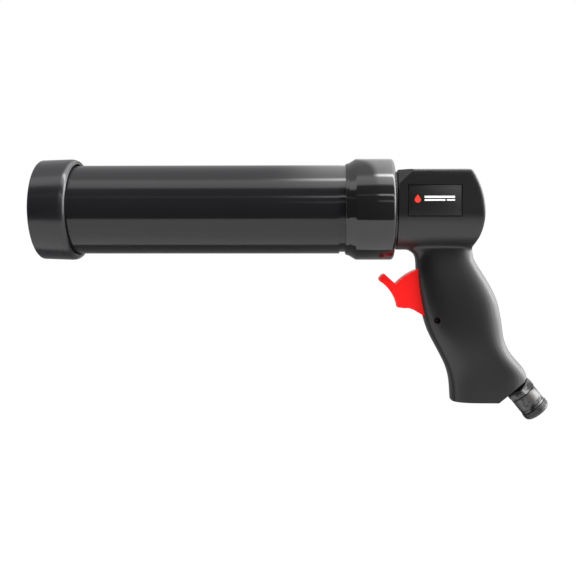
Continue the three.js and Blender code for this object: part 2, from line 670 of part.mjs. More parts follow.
/** Left and right housing shells, with their bosses, slot, holes and pockets. */
function shells() {
  const outside = join(headBlock(0), gripBlock(0));
  const inside = join(headBlock(SHELL_WALL), gripBlock(SHELL_WALL));
  const width = HEAD_RADIUS + 1;
  const valveRoom = Math.max(VALVE_RADIUS, portBossRadius) + GAP;
  const valvePad = cut(
    rod(-width, width, VALVE_BORE, BOSS_ROUND, AXIS_Y, [VALVE_FRONT + VALVE_LENGTH / 2, 0, stemZ]),
    box([VALVE_FRONT, -valveRoom, stemZ - VALVE_RADIUS], [valveRear, valveRoom, stemZ + VALVE_RADIUS]),
  );
  const leftBoss = ([x, z]) => rod(-width, 0, LEFT_BOSS_RADIUS, BOSS_ROUND, AXIS_Y, [x, 0, z]);
  const leftBosses = SCREW_PLACES.map(leftBoss);
  const rightBoss = ([x, z]) => rod(0, width, RIGHT_BOSS_RADIUS, BOSS_ROUND, AXIS_Y, [x, 0, z]);
  const rightBosses = SCREW_PLACES.map(rightBoss);
  const pinBoss = rod(-width, width, PIN_BOSS_RADIUS, BOSS_ROUND, AXIS_Y, [PIVOT_X, 0, PIVOT_Z]);
  const shared = join(cut(outside, inside), outside.intersect(join(valvePad, pinBoss)));
  const openings = [
    rod(headFront - 1, headFront + SHELL_FRONT_WALL + 1, NECK_GROOVE_RADIUS + GAP, ROUND),
    triggerSlot(),
    bushingRoom(),
    silencerHole(),
    rod(-width, width, PIN_RADIUS + GAP, BOSS_ROUND, AXIS_Y, [PIVOT_X, 0, PIVOT_Z]),
    labelPocket(-1),
    labelPocket(1),
  ];
  const half = GAP / 2;
  const far = 300;
  const leftRoom = box([-far, -far, -far], [far, -half, far]);
  const rightRoom = box([-far, half, -far], [far, far, far]);
  const pilotRadius = SCREW_RADIUS + GAP;
  const pilot = SCREW_PLACES.map(([x, z]) =>
    rod(-SCREW_BITE - 1, 1, pilotRadius, BOSS_ROUND, AXIS_Y, [x, 0, z]),
  );
  const passage = SCREW_PLACES.map(([x, z]) =>
    turned(
      [
        [-1, 0], [-1, SCREW_RADIUS + GAP], [SCREW_LAND, SCREW_RADIUS + GAP],
        [SCREW_LAND, SCREW_HEAD_RADIUS + GAP], [width, SCREW_HEAD_RADIUS + GAP], [width, 0],
      ],
      BOSS_ROUND, AXIS_Y, [x, 0, z],
    ),
  );
  const left = join(shared, ...leftBosses.map((boss) => boss.intersect(outside)));
  const right = join(shared, ...rightBosses.map((boss) => boss.intersect(outside)));
  return {
    left: cut(left.intersect(leftRoom), ...openings, ...pilot),
    right: cut(right.intersect(rightRoom), ...openings, ...passage),
  };
}

function shellScrew([x, z]) {
  const head = SCREW_LAND + GAP;
  const top = head + SCREW_HEAD_HEIGHT;
  const drive = top - SCREW_DRIVE_DEPTH;
  return turned(
    [
      [-SCREW_BITE, 0], [-SCREW_BITE + SCREW_POINT_LENGTH, SCREW_RADIUS], [head, SCREW_RADIUS],
      [head, SCREW_HEAD_RADIUS],
      [top - SCREW_HEAD_EDGE, SCREW_HEAD_RADIUS],
      [top, SCREW_HEAD_RADIUS - SCREW_HEAD_EDGE],
      [top, SCREW_DRIVE_RADIUS], [drive, SCREW_DRIVE_RADIUS], [drive, 0],
    ],
    8, AXIS_Y, [x, 0, z],
  );
}

function labelPlate(side) {
  const [from, to] = [side * (labelFloor + GAP), side * (labelFloor + GAP + LABEL_THICKNESS)];
  return box(
    [LABEL_FRONT + GAP, Math.min(from, to), LABEL_BOTTOM + GAP],
    [LABEL_FRONT + LABEL_LENGTH - GAP, Math.max(from, to), LABEL_BOTTOM + LABEL_HEIGHT - GAP],
  );
}

// ---------------------------------------------------------------- trigger

/** Side view of the trigger: finger tab, hollow front, lower lip, hub and the arc that closes the slot. */
function trigger() {
  const half = TRIGGER_WIDTH / 2;
  const from = (dx, dz) => [PIVOT_X + dx, PIVOT_Z + dz]; // a point given from the pin
  const stopTop = TRIGGER_RADIUS + TRIGGER_STOP_HEIGHT;
  const arcStart = Math.PI / 2 + TRIGGER_STOP_LENGTH / TRIGGER_RADIUS;
  const arcEnd = THREE.MathUtils.degToRad(TRIGGER_NOTCH_ANGLE);
  const side = new THREE.Shape();
  side.moveTo(...from(0, 0));
  side.lineTo(...from(0, stopTop));
  side.lineTo(...from(-TRIGGER_STOP_LENGTH, stopTop));
  side.lineTo(...from(TRIGGER_RADIUS * Math.cos(arcStart), TRIGGER_RADIUS * Math.sin(arcStart)));
  side.absarc(PIVOT_X, PIVOT_Z, TRIGGER_RADIUS, arcStart, arcEnd, false);
  side.lineTo(...from(-32.3, 28.7));
  side.quadraticCurveTo(...from(-34.1, 28.2), ...from(-35.6, 25.8));
  side.quadraticCurveTo(...from(-35.9, 24.6), ...from(-34.8, 23.7));
  side.bezierCurveTo(...from(-29.6, 20.6), ...from(-24.9, 14), ...from(-24.1, 7.6));
  side.lineTo(...from(-19, 7));
  side.quadraticCurveTo(...from(-17.8, 7.6), ...from(-14.1, 6.1));
  side.lineTo(...from(-7.2, 2));
  const plate = sideways(side, -half, half, 8);
  const hub = rod(-half, half, TRIGGER_HUB_RADIUS, SMALL_ROUND, AXIS_Y, [PIVOT_X, 0, PIVOT_Z]);
  const hole = rod(-half - 1, half + 1, PIN_RADIUS + GAP, BOSS_ROUND, AXIS_Y, [PIVOT_X, 0, PIVOT_Z]);
  return cut(join(plate, hub), hole);
}

const triggerPin = () =>
  rod(-pinHalfLength(), pinHalfLength(), PIN_RADIUS, BOSS_ROUND, AXIS_Y, [PIVOT_X, 0, PIVOT_Z]);

// ---------------------------------------------------------------- valve

const valveCentre = [0, 0, stemZ];
const deliveryMouth = stemZ + VALVE_RADIUS + SOCKET_DEPTH;
const supplyMouth = stemZ - VALVE_RADIUS - SOCKET_DEPTH;

function valveBody() {
  const body = rod(VALVE_FRONT, valveRear, VALVE_RADIUS, SMALL_ROUND, AXIS_X, valveCentre);
  const upper = rod(stemZ, deliveryMouth, portBossRadius, SMALL_ROUND, AXIS_Z, [DELIVERY_X, 0, 0]);
  const lower = rod(supplyMouth, stemZ, portBossRadius, SMALL_ROUND, AXIS_Z, [SUPPLY_X, 0, 0]);
  const ventRear = VALVE_FRONT + VALVE_VENT_LENGTH;
  const bore = turned(
    [
      [VALVE_FRONT - 1, 0], [VALVE_FRONT - 1, VALVE_VENT_RADIUS], [ventRear, VALVE_VENT_RADIUS],
      [ventRear, VALVE_BORE], [valveRear + 1, VALVE_BORE], [valveRear + 1, 0],
    ],
    SMALL_ROUND, AXIS_X, valveCentre,
  );
  const upperPort = rod(stemZ, deliveryMouth, PORT_RADIUS, 12, AXIS_Z, [DELIVERY_X, 0, 0]);
  const lowerPort = rod(supplyMouth, stemZ, PORT_RADIUS, 12, AXIS_Z, [SUPPLY_X, 0, 0]);
  return cut(
    join(body, upper, lower), bore, upperPort, lowerPort,
    socket(deliveryMouth, -1, AXIS_Z, [DELIVERY_X, 0, 0]),
    socket(supplyMouth, 1, AXIS_Z, [SUPPLY_X, 0, 0]),
  );
}

const stemRingPlaces = [spoolFront + SPOOL_LAND / 2, spoolRear - SPOOL_LAND / 2];

/** The rod that the trigger pushes, with two ringed lands and a waist that lets the air past. */
function valveStem() {
  const grooveHalf = STEM_RING_SECTION + GAP;
  const grooveRadius = VALVE_BORE - 2 * STEM_RING_SECTION - 2 * GAP;
  const lands = stemRingPlaces.flatMap((x) => [
    [x - SPOOL_LAND / 2, STEM_RADIUS], [x - SPOOL_LAND / 2, SPOOL_RADIUS],
    [x - grooveHalf, SPOOL_RADIUS], [x - grooveHalf, grooveRadius],
    [x + grooveHalf, grooveRadius], [x + grooveHalf, SPOOL_RADIUS],
    [x + SPOOL_LAND / 2, SPOOL_RADIUS], [x + SPOOL_LAND / 2, STEM_RADIUS],
  ]);
  return turned(
    [
      [stemTip, 0],
      [stemTip, STEM_RADIUS - STEM_TIP_EDGE],
      [stemTip + STEM_TIP_EDGE, STEM_RADIUS],
      ...lands,
      [spoolRear, 0],
    ],
    SMALL_ROUND, AXIS_X, valveCentre,
  );
}

const stemRing = (x) =>
  oRing(x, VALVE_BORE - STEM_RING_SECTION - GAP / 2, STEM_RING_SECTION, AXIS_X, valveCentre);

function valvePlug() {
  const shoulder = valveRear + GAP;
  const spigot = VALVE_BORE - GAP;
  return turned(
    [
      [plugInner, 0], [plugInner, spigot], [shoulder, spigot],
      [shoulder, PLUG_RADIUS], [shoulder + PLUG_LENGTH, PLUG_RADIUS], [shoulder + PLUG_LENGTH, 0],
    ],
    SMALL_ROUND, AXIS_X, valveCentre,
  );
}

/** The line that a spring's wire follows about the stem's axis. */
class Helix extends THREE.Curve {
  constructor(from, to, radius, turns) {
    super();
    Object.assign(this, { from, to, radius, turns });
  }
  getPoint(t, target = new THREE.Vector3()) {
    const angle = 2 * Math.PI * this.turns * t;
    const x = this.from + (this.to - this.from) * t;
    return target.set(x, this.radius * Math.cos(angle), stemZ + this.radius * Math.sin(angle));
  }
}

/** Compression spring between the spool and the plug. */
function valveSpring() {
  const radius = SPOOL_RADIUS - SPRING_WIRE - GAP;
  const from = spoolRear + SPRING_WIRE + GAP;
  const to = plugInner - SPRING_WIRE - GAP;
  return along(new Helix(from, to, radius, SPRING_TURNS), SPRING_WIRE, SPRING_TURNS * 10, 3);
}

// ---------------------------------------------------------------- air tubes and their rings

const deliveryRange = [deliveryMouth - SOCKET_DEPTH + GAP, coreSocketMouth + SOCKET_DEPTH - GAP];

const deliveryTube = () =>
  ring(...deliveryRange, TUBE_BORE, TUBE_RADIUS, SMALL_ROUND, AXIS_Z, [DELIVERY_X, 0, 0]);

/** A point out along the inlet's axis, counted from the slanted face. */
const onInlet = (distance) =>
  new THREE.Vector3(
    INLET_X + distance * Math.cos(inletAngle),
    0,
    INLET_Z - distance * Math.sin(inletAngle),
  );

const bushingInner = -BUSHING_DEPTH;

function supplyTube() {
  const start = onInlet(bushingInner + SOCKET_DEPTH - GAP);
  const end = new THREE.Vector3(SUPPLY_X, 0, supplyMouth + SOCKET_DEPTH - GAP);
  const path = new THREE.CurvePath();
  const bendStart = onInlet(bushingInner - 2);
  const bendEnd = new THREE.Vector3(SUPPLY_X, 0, supplyMouth - 2);
  path.add(new THREE.LineCurve3(start, bendStart));
  path.add(
    new THREE.CubicBezierCurve3(
      bendStart, onInlet(bushingInner - 14), new THREE.Vector3(SUPPLY_X, 0, supplyMouth - 16), bendEnd,
    ),
  );
  path.add(new THREE.LineCurve3(bendEnd, end));
  const steps = 12;
  const longer = new THREE.CurvePath();
  longer.add(new THREE.LineCurve3(onInlet(bushingInner + SOCKET_DEPTH + 1), start));
  path.curves.forEach((curve) => longer.add(curve));
  longer.add(new THREE.LineCurve3(end, end.clone().setZ(end.z + 1)));
  return cut(along(path, TUBE_RADIUS, steps, 5), along(longer, TUBE_BORE, steps + 2, 4));
}

const sealRadius = socketRadius + SEAL_SECTION;
const sealDepth = SEAL_SECTION + GAP / 2;
const deliverySeal = (mouth, inwards) =>
  oRing(mouth + inwards * sealDepth, sealRadius, SEAL_SECTION, AXIS_Z, [DELIVERY_X, 0, 0]);
const supplySealUpper = () =>
  oRing(supplyMouth + sealDepth, sealRadius, SEAL_SECTION, AXIS_Z, [SUPPLY_X, 0, 0]);
const supplySealLower = () =>
  oRing(bushingInner + sealDepth, sealRadius, SEAL_SECTION, inletFrame.clone().multiply(AXIS_X));

// ---------------------------------------------------------------- air inlet

const filterSeat = bushingInner + SOCKET_DEPTH + FILTER_LEDGE;

/** Screwed-in bushing, held by the slanted wall in its groove, with the supply tube's socket inside. */
function inletBushing() {
  const behindWall = -SHELL_WALL - GAP;
  const socketEnd = bushingInner + SOCKET_DEPTH;
  const sealRoom = bushingInner + 2 * SEAL_SECTION + GAP;
  const filterRoom = FILTER_RADIUS + GAP;
  return inletTurned([
    [bushingInner, sealGroove], [bushingInner, BUSHING_RADIUS], [behindWall, BUSHING_RADIUS],
    [behindWall, BUSHING_GROOVE_RADIUS], [GAP, BUSHING_GROOVE_RADIUS], [GAP, INLET_NECK_RADIUS],
    [INLET_NECK_LENGTH, INLET_NECK_RADIUS], [INLET_NECK_LENGTH, filterRoom], [filterSeat, filterRoom],
    [filterSeat, TUBE_BORE], [socketEnd, TUBE_BORE], [socketEnd, socketRadius],
    [sealRoom, socketRadius], [sealRoom, sealGroove], [bushingInner, sealGroove],
  ]);
}

const inletFilter = () => {
  const front = filterSeat + GAP;
  const rear = front + FILTER_LENGTH;
  return inletTurned([[front, 0], [front, FILTER_RADIUS], [rear, FILTER_RADIUS], [rear, 0]]);
};

/** Hexagon of the swivel coupling, with the spigot that the sleeve turns on. */
function inletHex() {
  const start = INLET_NECK_LENGTH + GAP;
  const corner = HEX_ACROSS_FLATS / 2 / Math.cos(Math.PI / 6);
  const prism = new THREE.CylinderGeometry(corner, corner, HEX_END - start, 6);
  prism.translate(0, (HEX_END + start) / 2, 0);
  prism.applyMatrix4(new THREE.Matrix4().makeRotationY(Math.PI / 2));
  prism.applyMatrix4(inletFrame.clone().multiply(AXIS_X));
  const flat = HEX_ACROSS_FLATS / 2;
  const spigotEnd = HEX_END + SWIVEL_SPIGOT_LENGTH;
  const chamfer = inletTurned([
    [start, 0], [start, flat - HEX_EDGE], [start + HEX_CHAMFER, corner],
    [HEX_END - HEX_EDGE, corner], [HEX_END, corner - HEX_EDGE], [HEX_END, 0],
  ]);
  const spigot = inletTurned([
    [HEX_END - 1, INLET_BORE], [HEX_END - 1, SWIVEL_SPIGOT_RADIUS], [spigotEnd, SWIVEL_SPIGOT_RADIUS],
    [spigotEnd, INLET_BORE], [HEX_END - 1, INLET_BORE],
  ]);
  const bore = inletTurned([
    [start - 1, 0],
    [start - 1, INLET_BORE],
    [spigotEnd + 1, INLET_BORE],
    [spigotEnd + 1, 0],
  ]);
  return cut(join(solid(prism).intersect(chamfer), spigot), bore);
}

const sleeveStart = HEX_END + GAP;
const ringStart = INLET_END - GRIP_RING_LENGTH;
const ringBore = GRIP_RING_RADIUS - GRIP_RING_WALL;

/** Sleeve that turns on the hexagon's spigot, with the G 1/4 port for a hose fitting in its end. */
function swivelSleeve() {
  const spigotRoom = SWIVEL_SPIGOT_RADIUS + GAP;
  const roomEnd = HEX_END + SWIVEL_SPIGOT_LENGTH + GAP;
  const portStart = SLEEVE_END - SLEEVE_PORT_DEPTH;
  const waist = ringStart - GAP;
  const tail = ringBore - GAP;
  return inletTurned([
    [sleeveStart, spigotRoom], [sleeveStart, SLEEVE_RADIUS - SLEEVE_EDGE],
    [sleeveStart + SLEEVE_EDGE, SLEEVE_RADIUS], [waist, SLEEVE_RADIUS], [waist, tail], [SLEEVE_END, tail],
    [SLEEVE_END, SLEEVE_PORT_RADIUS], [portStart, SLEEVE_PORT_RADIUS], [portStart, INLET_BORE],
    [roomEnd, INLET_BORE], [roomEnd, spigotRoom], [sleeveStart, spigotRoom],
  ]);
}

/** Knurled ring round the open end of the swivel sleeve. */
function gripRing() {
  const mouth = SLEEVE_PORT_RADIUS + GAP;
  const lip = SLEEVE_END + GAP;
  return inletTurned([
    [ringStart, ringBore],
    [ringStart, GRIP_RING_RADIUS - SLEEVE_EDGE],
    [ringStart + SLEEVE_EDGE, GRIP_RING_RADIUS],
    ...arc(INLET_END - GRIP_RING_EDGE, GRIP_RING_RADIUS - GRIP_RING_EDGE, GRIP_RING_EDGE, 90, 0, 3),
    [INLET_END, mouth], [lip, mouth], [lip, ringBore], [ringStart, ringBore],
  ]);
}

// ---------------------------------------------------------------- exhaust silencer

function exhaustSilencer() {
  const bottom = GRIP_BOTTOM + SILENCER_RECESS;
  const flangeBottom = GRIP_BOTTOM + SHELL_WALL + GAP;
  const flangeTop = flangeBottom + SILENCER_FLANGE_THICKNESS;
  const plug = SILENCER_RADIUS - 2 * GAP;
  const body = turned(
    [
      [bottom, 0],
      [bottom, SILENCER_RADIUS],
      [flangeBottom, SILENCER_RADIUS],
      [flangeBottom, SILENCER_FLANGE_RADIUS],
      [flangeTop, SILENCER_FLANGE_RADIUS], [flangeTop, plug], [silencerTop, plug], [silencerTop, 0],
    ],
    SMALL_ROUND, AXIS_Z, [SILENCER_X, 0, 0],
  );
  const pitch = (2 * SILENCER_RADIUS) / (SILENCER_SLOTS + 1);
  const half = SILENCER_SLOT_WIDTH / 2;
  const slots = Array.from({ length: SILENCER_SLOTS }, (_, i) => {
    const x = SILENCER_X - SILENCER_RADIUS + pitch * (i + 1);
    const reach = SILENCER_RADIUS / 2;
    return box([x - half, -reach, bottom - 1], [x + half, reach, bottom + SILENCER_SLOT_DEPTH]);
  });
  return cut(body, ...slots);
}

// ---------------------------------------------------------------- assembly

place("barrel", barrel(), anodised);
place("front_cap", frontCap(), capBlack);
place("thrust_ring", thrustRing(), whitePlastic);
place("rear_collar", rearCollar(), anodised);
place("slip_washer", slipWasher(), whitePlastic);
place("head_core", headCore(), castMetal);
place("cartridge_seal", cartridgeSeal(), rubber);

const { left, right } = shells();
place("left_shell", left, shellBlack);
place("right_shell", right, shellBlack);
SCREW_PLACES.forEach((spot, i) => place("shell_screw_" + (i + 1), shellScrew(spot), blackSteel));
place("left_label", labelPlate(-1), labelBlack);
place("right_label", labelPlate(1), labelBlack);

place("trigger", trigger(), triggerRed);
place("trigger_pin", triggerPin(), blackSteel);

place("valve_body", valveBody(), brass);
place("valve_stem", valveStem(), steel);
stemRingPlaces.forEach((x, i) => place("stem_o_ring_" + (i + 1), stemRing(x), rubber));
place("valve_spring", valveSpring(), steel);
place("valve_plug", valvePlug(), brass);

place("delivery_tube", deliveryTube(), whitePlastic);
place("delivery_o_ring_1", deliverySeal(coreSocketMouth, 1), rubber);
place("delivery_o_ring_2", deliverySeal(deliveryMouth, -1), rubber);
place("supply_tube", supplyTube(), whitePlastic);
place("supply_o_ring_1", supplySealUpper(), rubber);
place("supply_o_ring_2", supplySealLower(), rubber);

place("inlet_bushing", inletBushing(), blackSteel);
place("inlet_filter", inletFilter(), sinteredBronze);
place("inlet_hex", inletHex(), fittingGrey);
place("swivel_sleeve", swivelSleeve(), fittingGrey);
place("grip_ring", gripRing(), shellBlack);
place("exhaust_silencer", exhaustSilencer(), sinteredBronze);

export default gun;
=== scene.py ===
"""Looks of a compressed-air caulking gun for rigid cartridges.

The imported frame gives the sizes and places. Each class makes one sub-assembly, shapes it on the bench in
millimetres, dresses it in its finish and hands it to the body that it moves with.
"""

import json
import logging
import math
from collections.abc import Callable, Iterator, Sequence
from contextlib import contextmanager
from dataclasses import dataclass
from enum import Enum

import bpy
from mathutils import Euler, Matrix, Vector

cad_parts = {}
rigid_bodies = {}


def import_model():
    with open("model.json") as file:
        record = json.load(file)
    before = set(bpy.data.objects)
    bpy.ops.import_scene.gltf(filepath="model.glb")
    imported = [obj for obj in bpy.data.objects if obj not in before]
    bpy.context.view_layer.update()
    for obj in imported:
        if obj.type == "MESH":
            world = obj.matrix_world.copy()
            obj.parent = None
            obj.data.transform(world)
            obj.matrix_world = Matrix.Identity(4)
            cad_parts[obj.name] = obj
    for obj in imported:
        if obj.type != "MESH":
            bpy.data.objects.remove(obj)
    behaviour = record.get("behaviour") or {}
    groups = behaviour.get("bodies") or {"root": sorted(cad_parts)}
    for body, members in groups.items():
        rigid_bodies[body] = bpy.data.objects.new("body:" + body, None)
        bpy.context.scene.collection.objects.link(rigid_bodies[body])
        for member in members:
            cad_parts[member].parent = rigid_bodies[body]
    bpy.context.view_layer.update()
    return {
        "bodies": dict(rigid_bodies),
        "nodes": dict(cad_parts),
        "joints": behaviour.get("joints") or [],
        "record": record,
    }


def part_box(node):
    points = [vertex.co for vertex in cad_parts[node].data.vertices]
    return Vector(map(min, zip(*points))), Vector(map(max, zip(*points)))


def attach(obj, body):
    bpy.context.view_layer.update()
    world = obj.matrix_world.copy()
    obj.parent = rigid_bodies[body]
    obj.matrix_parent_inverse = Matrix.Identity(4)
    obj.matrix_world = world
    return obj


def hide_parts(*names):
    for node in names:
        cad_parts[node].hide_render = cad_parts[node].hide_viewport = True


log = logging.getLogger("caulking gun")

MM = 0.001
ROUND = 160  # sides of the large turned pieces
SMALL_ROUND = 64  # sides of the small turned pieces
GAP = 0.3  # clearance between pieces that touch

Point = tuple[float, float]
Place = tuple[float, float, float]
Colour = tuple[float, float, float]
Test = Callable[[Vector, Vector], bool]


class Parts(Enum):
    """What a selection picks."""

    CORNERS = "VERT"
    FACES = "FACE"


class Fit(Enum):
    """How one solid works on another."""

    JOIN = "UNION"
    CUT = "DIFFERENCE"
    KEEP = "INTERSECT"


# ---------------------------------------------------------------- outlines


def arc(centre: Point, radius: float, start: float, end: float, steps: int) -> list[Point]:
    """Points along an arc.

    Args:
        centre: middle of the arc.
        radius: radius of the arc.
        start: angle of the first point, in degrees from the first axis.
        end: angle of the last point, in degrees.
        steps: number of equal steps.

    Returns:
        The points, both ends included.
    """
    angles = [math.radians(start + (end - start) * i / steps) for i in range(steps + 1)]
    return [(centre[0] + radius * math.cos(a), centre[1] + radius * math.sin(a)) for a in angles]


def sweep(points: Sequence[Point], steps: int) -> list[Point]:
    """Points along a Bezier curve.

    Args:
        points: the curve's control points, three or four.
        steps: number of steps.

    Returns:
        The points after the first, up to the last.
    """

    def at(share: float, held: Sequence[Point]) -> Point:
        """The point at a share of the way."""
        if len(held) == 1:
            return held[0]
        pairs = zip(held, held[1:])
        return at(share, [tuple(a + (b - a) * share for a, b in zip(p, q)) for p, q in pairs])

    return [at(i / steps, points) for i in range(1, steps + 1)]


def through(knots: Sequence[Point]) -> Callable[[float], float]:
    """A smooth curve through knots.

    Args:
        knots: (place, value) pairs in order.

    Returns:
        A function that gives the value at any place.
    """
    last = len(knots) - 1
    slopes = []
    for i in range(last + 1):
        before, after = knots[max(i - 1, 0)], knots[min(i + 1, last)]
        slopes.append((after[1] - before[1]) / (after[0] - before[0]))

    def value(place: float) -> float:
        """The curve's value at a place."""
        i = next((k for k in range(last) if place >= knots[k + 1][0]), last - 1)
        (start, low), (end, high) = knots[i], knots[i + 1]
        t = min(max((place - start) / (end - start), 0), 1)
        lean = slopes[i] * t * (1 - t) ** 2 - slopes[i + 1] * t * t * (1 - t)
        return low + (high - low) * t * t * (3 - 2 * t) + (end - start) * lean

    return value


def span(node: str) -> tuple[Vector, Vector]:
    """Lowest and highest corner of a CAD node, in millimetres."""
    low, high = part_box(node)
    return low / MM, high / MM


# ---------------------------------------------------------------- the bench


class Workpiece:
    """One piece on the bench. Its methods take millimetres."""

    def __init__(self, name: str) -> None:
        """Takes hold of the mesh that an operator has just added."""
        self.item = bpy.context.object
        self.item.name = self.item.data.name = name

    @staticmethod
    def clear() -> None:
        """Puts every tool down: object mode, nothing selected."""
        if bpy.context.object and bpy.context.object.mode != "OBJECT":
            bpy.ops.object.mode_set(mode="OBJECT")
        bpy.ops.object.select_all(action="DESELECT")

    def pick(self) -> None:
        """Selects this piece alone."""
        self.clear()
        self.item.select_set(True)
        bpy.context.view_layer.objects.active = self.item

    @contextmanager
    def editing(self, parts: Parts = Parts.CORNERS, chosen: Test | None = None) -> Iterator[None]:
        """Opens the piece for editing.

        Args:
            parts: what is selected.
            chosen: picks parts by their middle and their direction; without it, everything is picked.
        """
        self.pick()
        bpy.ops.object.mode_set(mode="EDIT")
        bpy.ops.mesh.select_mode(type=parts.value)
        bpy.ops.mesh.select_all(action="DESELECT" if chosen else "SELECT")
        if chosen:
            bpy.ops.object.mode_set(mode="OBJECT")
            self._choose(parts, chosen)
            bpy.ops.object.mode_set(mode="EDIT")
        yield
        bpy.ops.object.mode_set(mode="OBJECT")

    def _choose(self, parts: Parts, chosen: Test) -> None:
        """Marks the parts that a test picks."""
        mesh = self.item.data
        if parts is Parts.FACES:
            for face in mesh.polygons:
                face.select = chosen(face.center / MM, face.normal)
        else:
            for corner in mesh.vertices:
                corner.select = chosen(corner.co / MM, corner.normal)

    @classmethod
    def turned(cls, name: str, profile: Sequence[Point], sides: int = ROUND) -> "Workpiece":
        """Turns a profile about the X axis.

        Args:
            name: name of the piece.
            profile: (distance along X, radius) points; one that ends where it began makes a ring.
            sides: number of sides.

        Returns:
            The closed piece.
        """
        cls.clear()
        (along, radius), *rest = profile
        bpy.ops.mesh.primitive_circle_add(
            vertices=sides,
            radius=radius * MM,
            location=(along * MM, 0, 0),
            rotation=(0, math.pi / 2, 0),
        )
        made = cls(name)
        made.apply()
        with made.editing():
            for onward, wider in rest:
                step = ((onward - along) * MM, 0, 0)
                bpy.ops.mesh.extrude_region_move(TRANSFORM_OT_translate={"value": step})
                share = wider / radius
                bpy.ops.transform.resize(
                    value=(1, share, share), center_override=(onward * MM, 0, 0)
                )
                along, radius = onward, wider
        return made.closed()

    @classmethod
    def rod(cls, name: str, ends: Point, radius: float, sides: int = ROUND) -> "Workpiece":
        """A rod along X with its two ends filled."""
        return cls.turned(name, [(ends[0], radius), (ends[1], radius)], sides)

    @classmethod
    def block(cls, name: str, low: Place, high: Place) -> "Workpiece":
        """A block between two corners."""
        cls.clear()
        middle = [(a + b) / 2 * MM for a, b in zip(low, high)]
        size = [abs(b - a) * MM for a, b in zip(low, high)]
        bpy.ops.mesh.primitive_cube_add(size=1, location=middle, scale=size)
        return cls(name).apply()

    @classmethod
    def plate(cls, name: str, outline: Sequence[Point], low: float, high: float) -> "Workpiece":
        """Cuts an outline out of a plate that lies along X and Z.

        Args:
            name: name of the piece.
            outline: (x, z) points round the edge.
            low: y of one side.
            high: y of the other side.

        Returns:
            The closed piece.
        """
        cls.clear()
        here = outline[0]
        bpy.ops.mesh.primitive_plane_add(size=MM, location=(here[0] * MM, low * MM, here[1] * MM))
        made = cls(name).apply()
        with made.editing():
            bpy.ops.mesh.merge(type="CENTER")
            for onward in outline[1:]:
                step = ((onward[0] - here[0]) * MM, 0, (onward[1] - here[1]) * MM)
                bpy.ops.mesh.extrude_region_move(TRANSFORM_OT_translate={"value": step})
                here = onward
            bpy.ops.mesh.select_all(action="SELECT")
            bpy.ops.mesh.edge_face_add()
            through_plate = (0, (high - low) * MM, 0)
            bpy.ops.mesh.extrude_region_move(TRANSFORM_OT_translate={"value": through_plate})
        return made.closed()

    def closed(self) -> "Workpiece":
        """Merges doubles, fills open ends and turns the faces outwards."""
        with self.editing():
            bpy.ops.mesh.remove_doubles(threshold=1e-6)
            bpy.ops.mesh.fill_holes(sides=0)
            bpy.ops.mesh.select_all(action="SELECT")
            bpy.ops.mesh.normals_make_consistent(inside=False)
        return self

    def apply(self) -> "Workpiece":
        """Puts the piece's place into its mesh."""
        self.pick()
        bpy.ops.object.transform_apply(location=True, rotation=True, scale=True)
        return self

    def moved(self, frame: Matrix) -> "Workpiece":
        """Moves the piece by a matrix in metres."""
        self.item.matrix_world = frame @ self.item.matrix_world
        return self.apply()

    def modify(self, kind: str, **settings: object) -> "Workpiece":
        """Adds a modifier, sets it and applies it."""
        self.pick()
        modifier = self.item.modifiers.new(kind.lower(), kind)
        for name, value in settings.items():
            setattr(modifier, name, value)
        bpy.ops.object.modifier_apply(modifier=modifier.name)
        return self

    def fitted(self, fit: Fit, *tools: "Workpiece") -> "Workpiece":
        """Works on the piece with other solids, which are used up."""
        for tool in tools:
            self.modify("BOOLEAN", operation=fit.value, object=tool.item, solver="MANIFOLD")
            mesh = tool.item.data
            bpy.data.objects.remove(tool.item)
            bpy.data.meshes.remove(mesh)
        return self

    def cut(self, *tools: "Workpiece") -> "Workpiece":
        """Takes other solids away."""
        return self.fitted(Fit.CUT, *tools)

    def join(self, *tools: "Workpiece") -> "Workpiece":
        """Adds other solids."""
        return self.fitted(Fit.JOIN, *tools)

    def keep(self, *tools: "Workpiece") -> "Workpiece":
        """Keeps what lies inside other solids."""
        return self.fitted(Fit.KEEP, *tools)

    def copy(self, name: str) -> "Workpiece":
        """A copy with its own mesh."""
        self.pick()
        bpy.ops.object.duplicate(linked=False)
        return Workpiece(name)

    def rounded(self, width: float, angle: float = 35, segments: int = 3) -> "Workpiece":
        """Rounds every edge sharper than an angle in degrees."""
        return self.modify(
            "BEVEL",
            width=width * MM,
            segments=segments,
            limit_method="ANGLE",
            angle_limit=math.radians(angle),
            use_clamp_overlap=True,
        )

    def smooth(self, angle: float = 32) -> "Workpiece":
        """Shades the faces as one surface up to an angle in degrees."""
        self.pick()
        bpy.ops.object.shade_smooth_by_angle(angle=math.radians(angle))
        return self

    def finished(self, finish: "Finish", body: str, slot: str, *nodes: str) -> "Workpiece":
        """Dresses the piece and hands it over.

        Args:
            finish: what its surface is.
            body: the CAD body that it moves with.
            slot: the record's material slot; not used.
            *nodes: the CAD nodes that it stands for.

        Returns:
            The piece.
        """
        self.clear()
        self.item.data.materials.clear()
        self.item.data.materials.append(finish.material())
        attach(self.item, body)
        if nodes:
            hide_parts(*nodes)
        log.info("%s: %d faces, rides on %s", self.item.name, len(self.item.data.polygons), body)
        return self


# ---------------------------------------------------------------- finishes


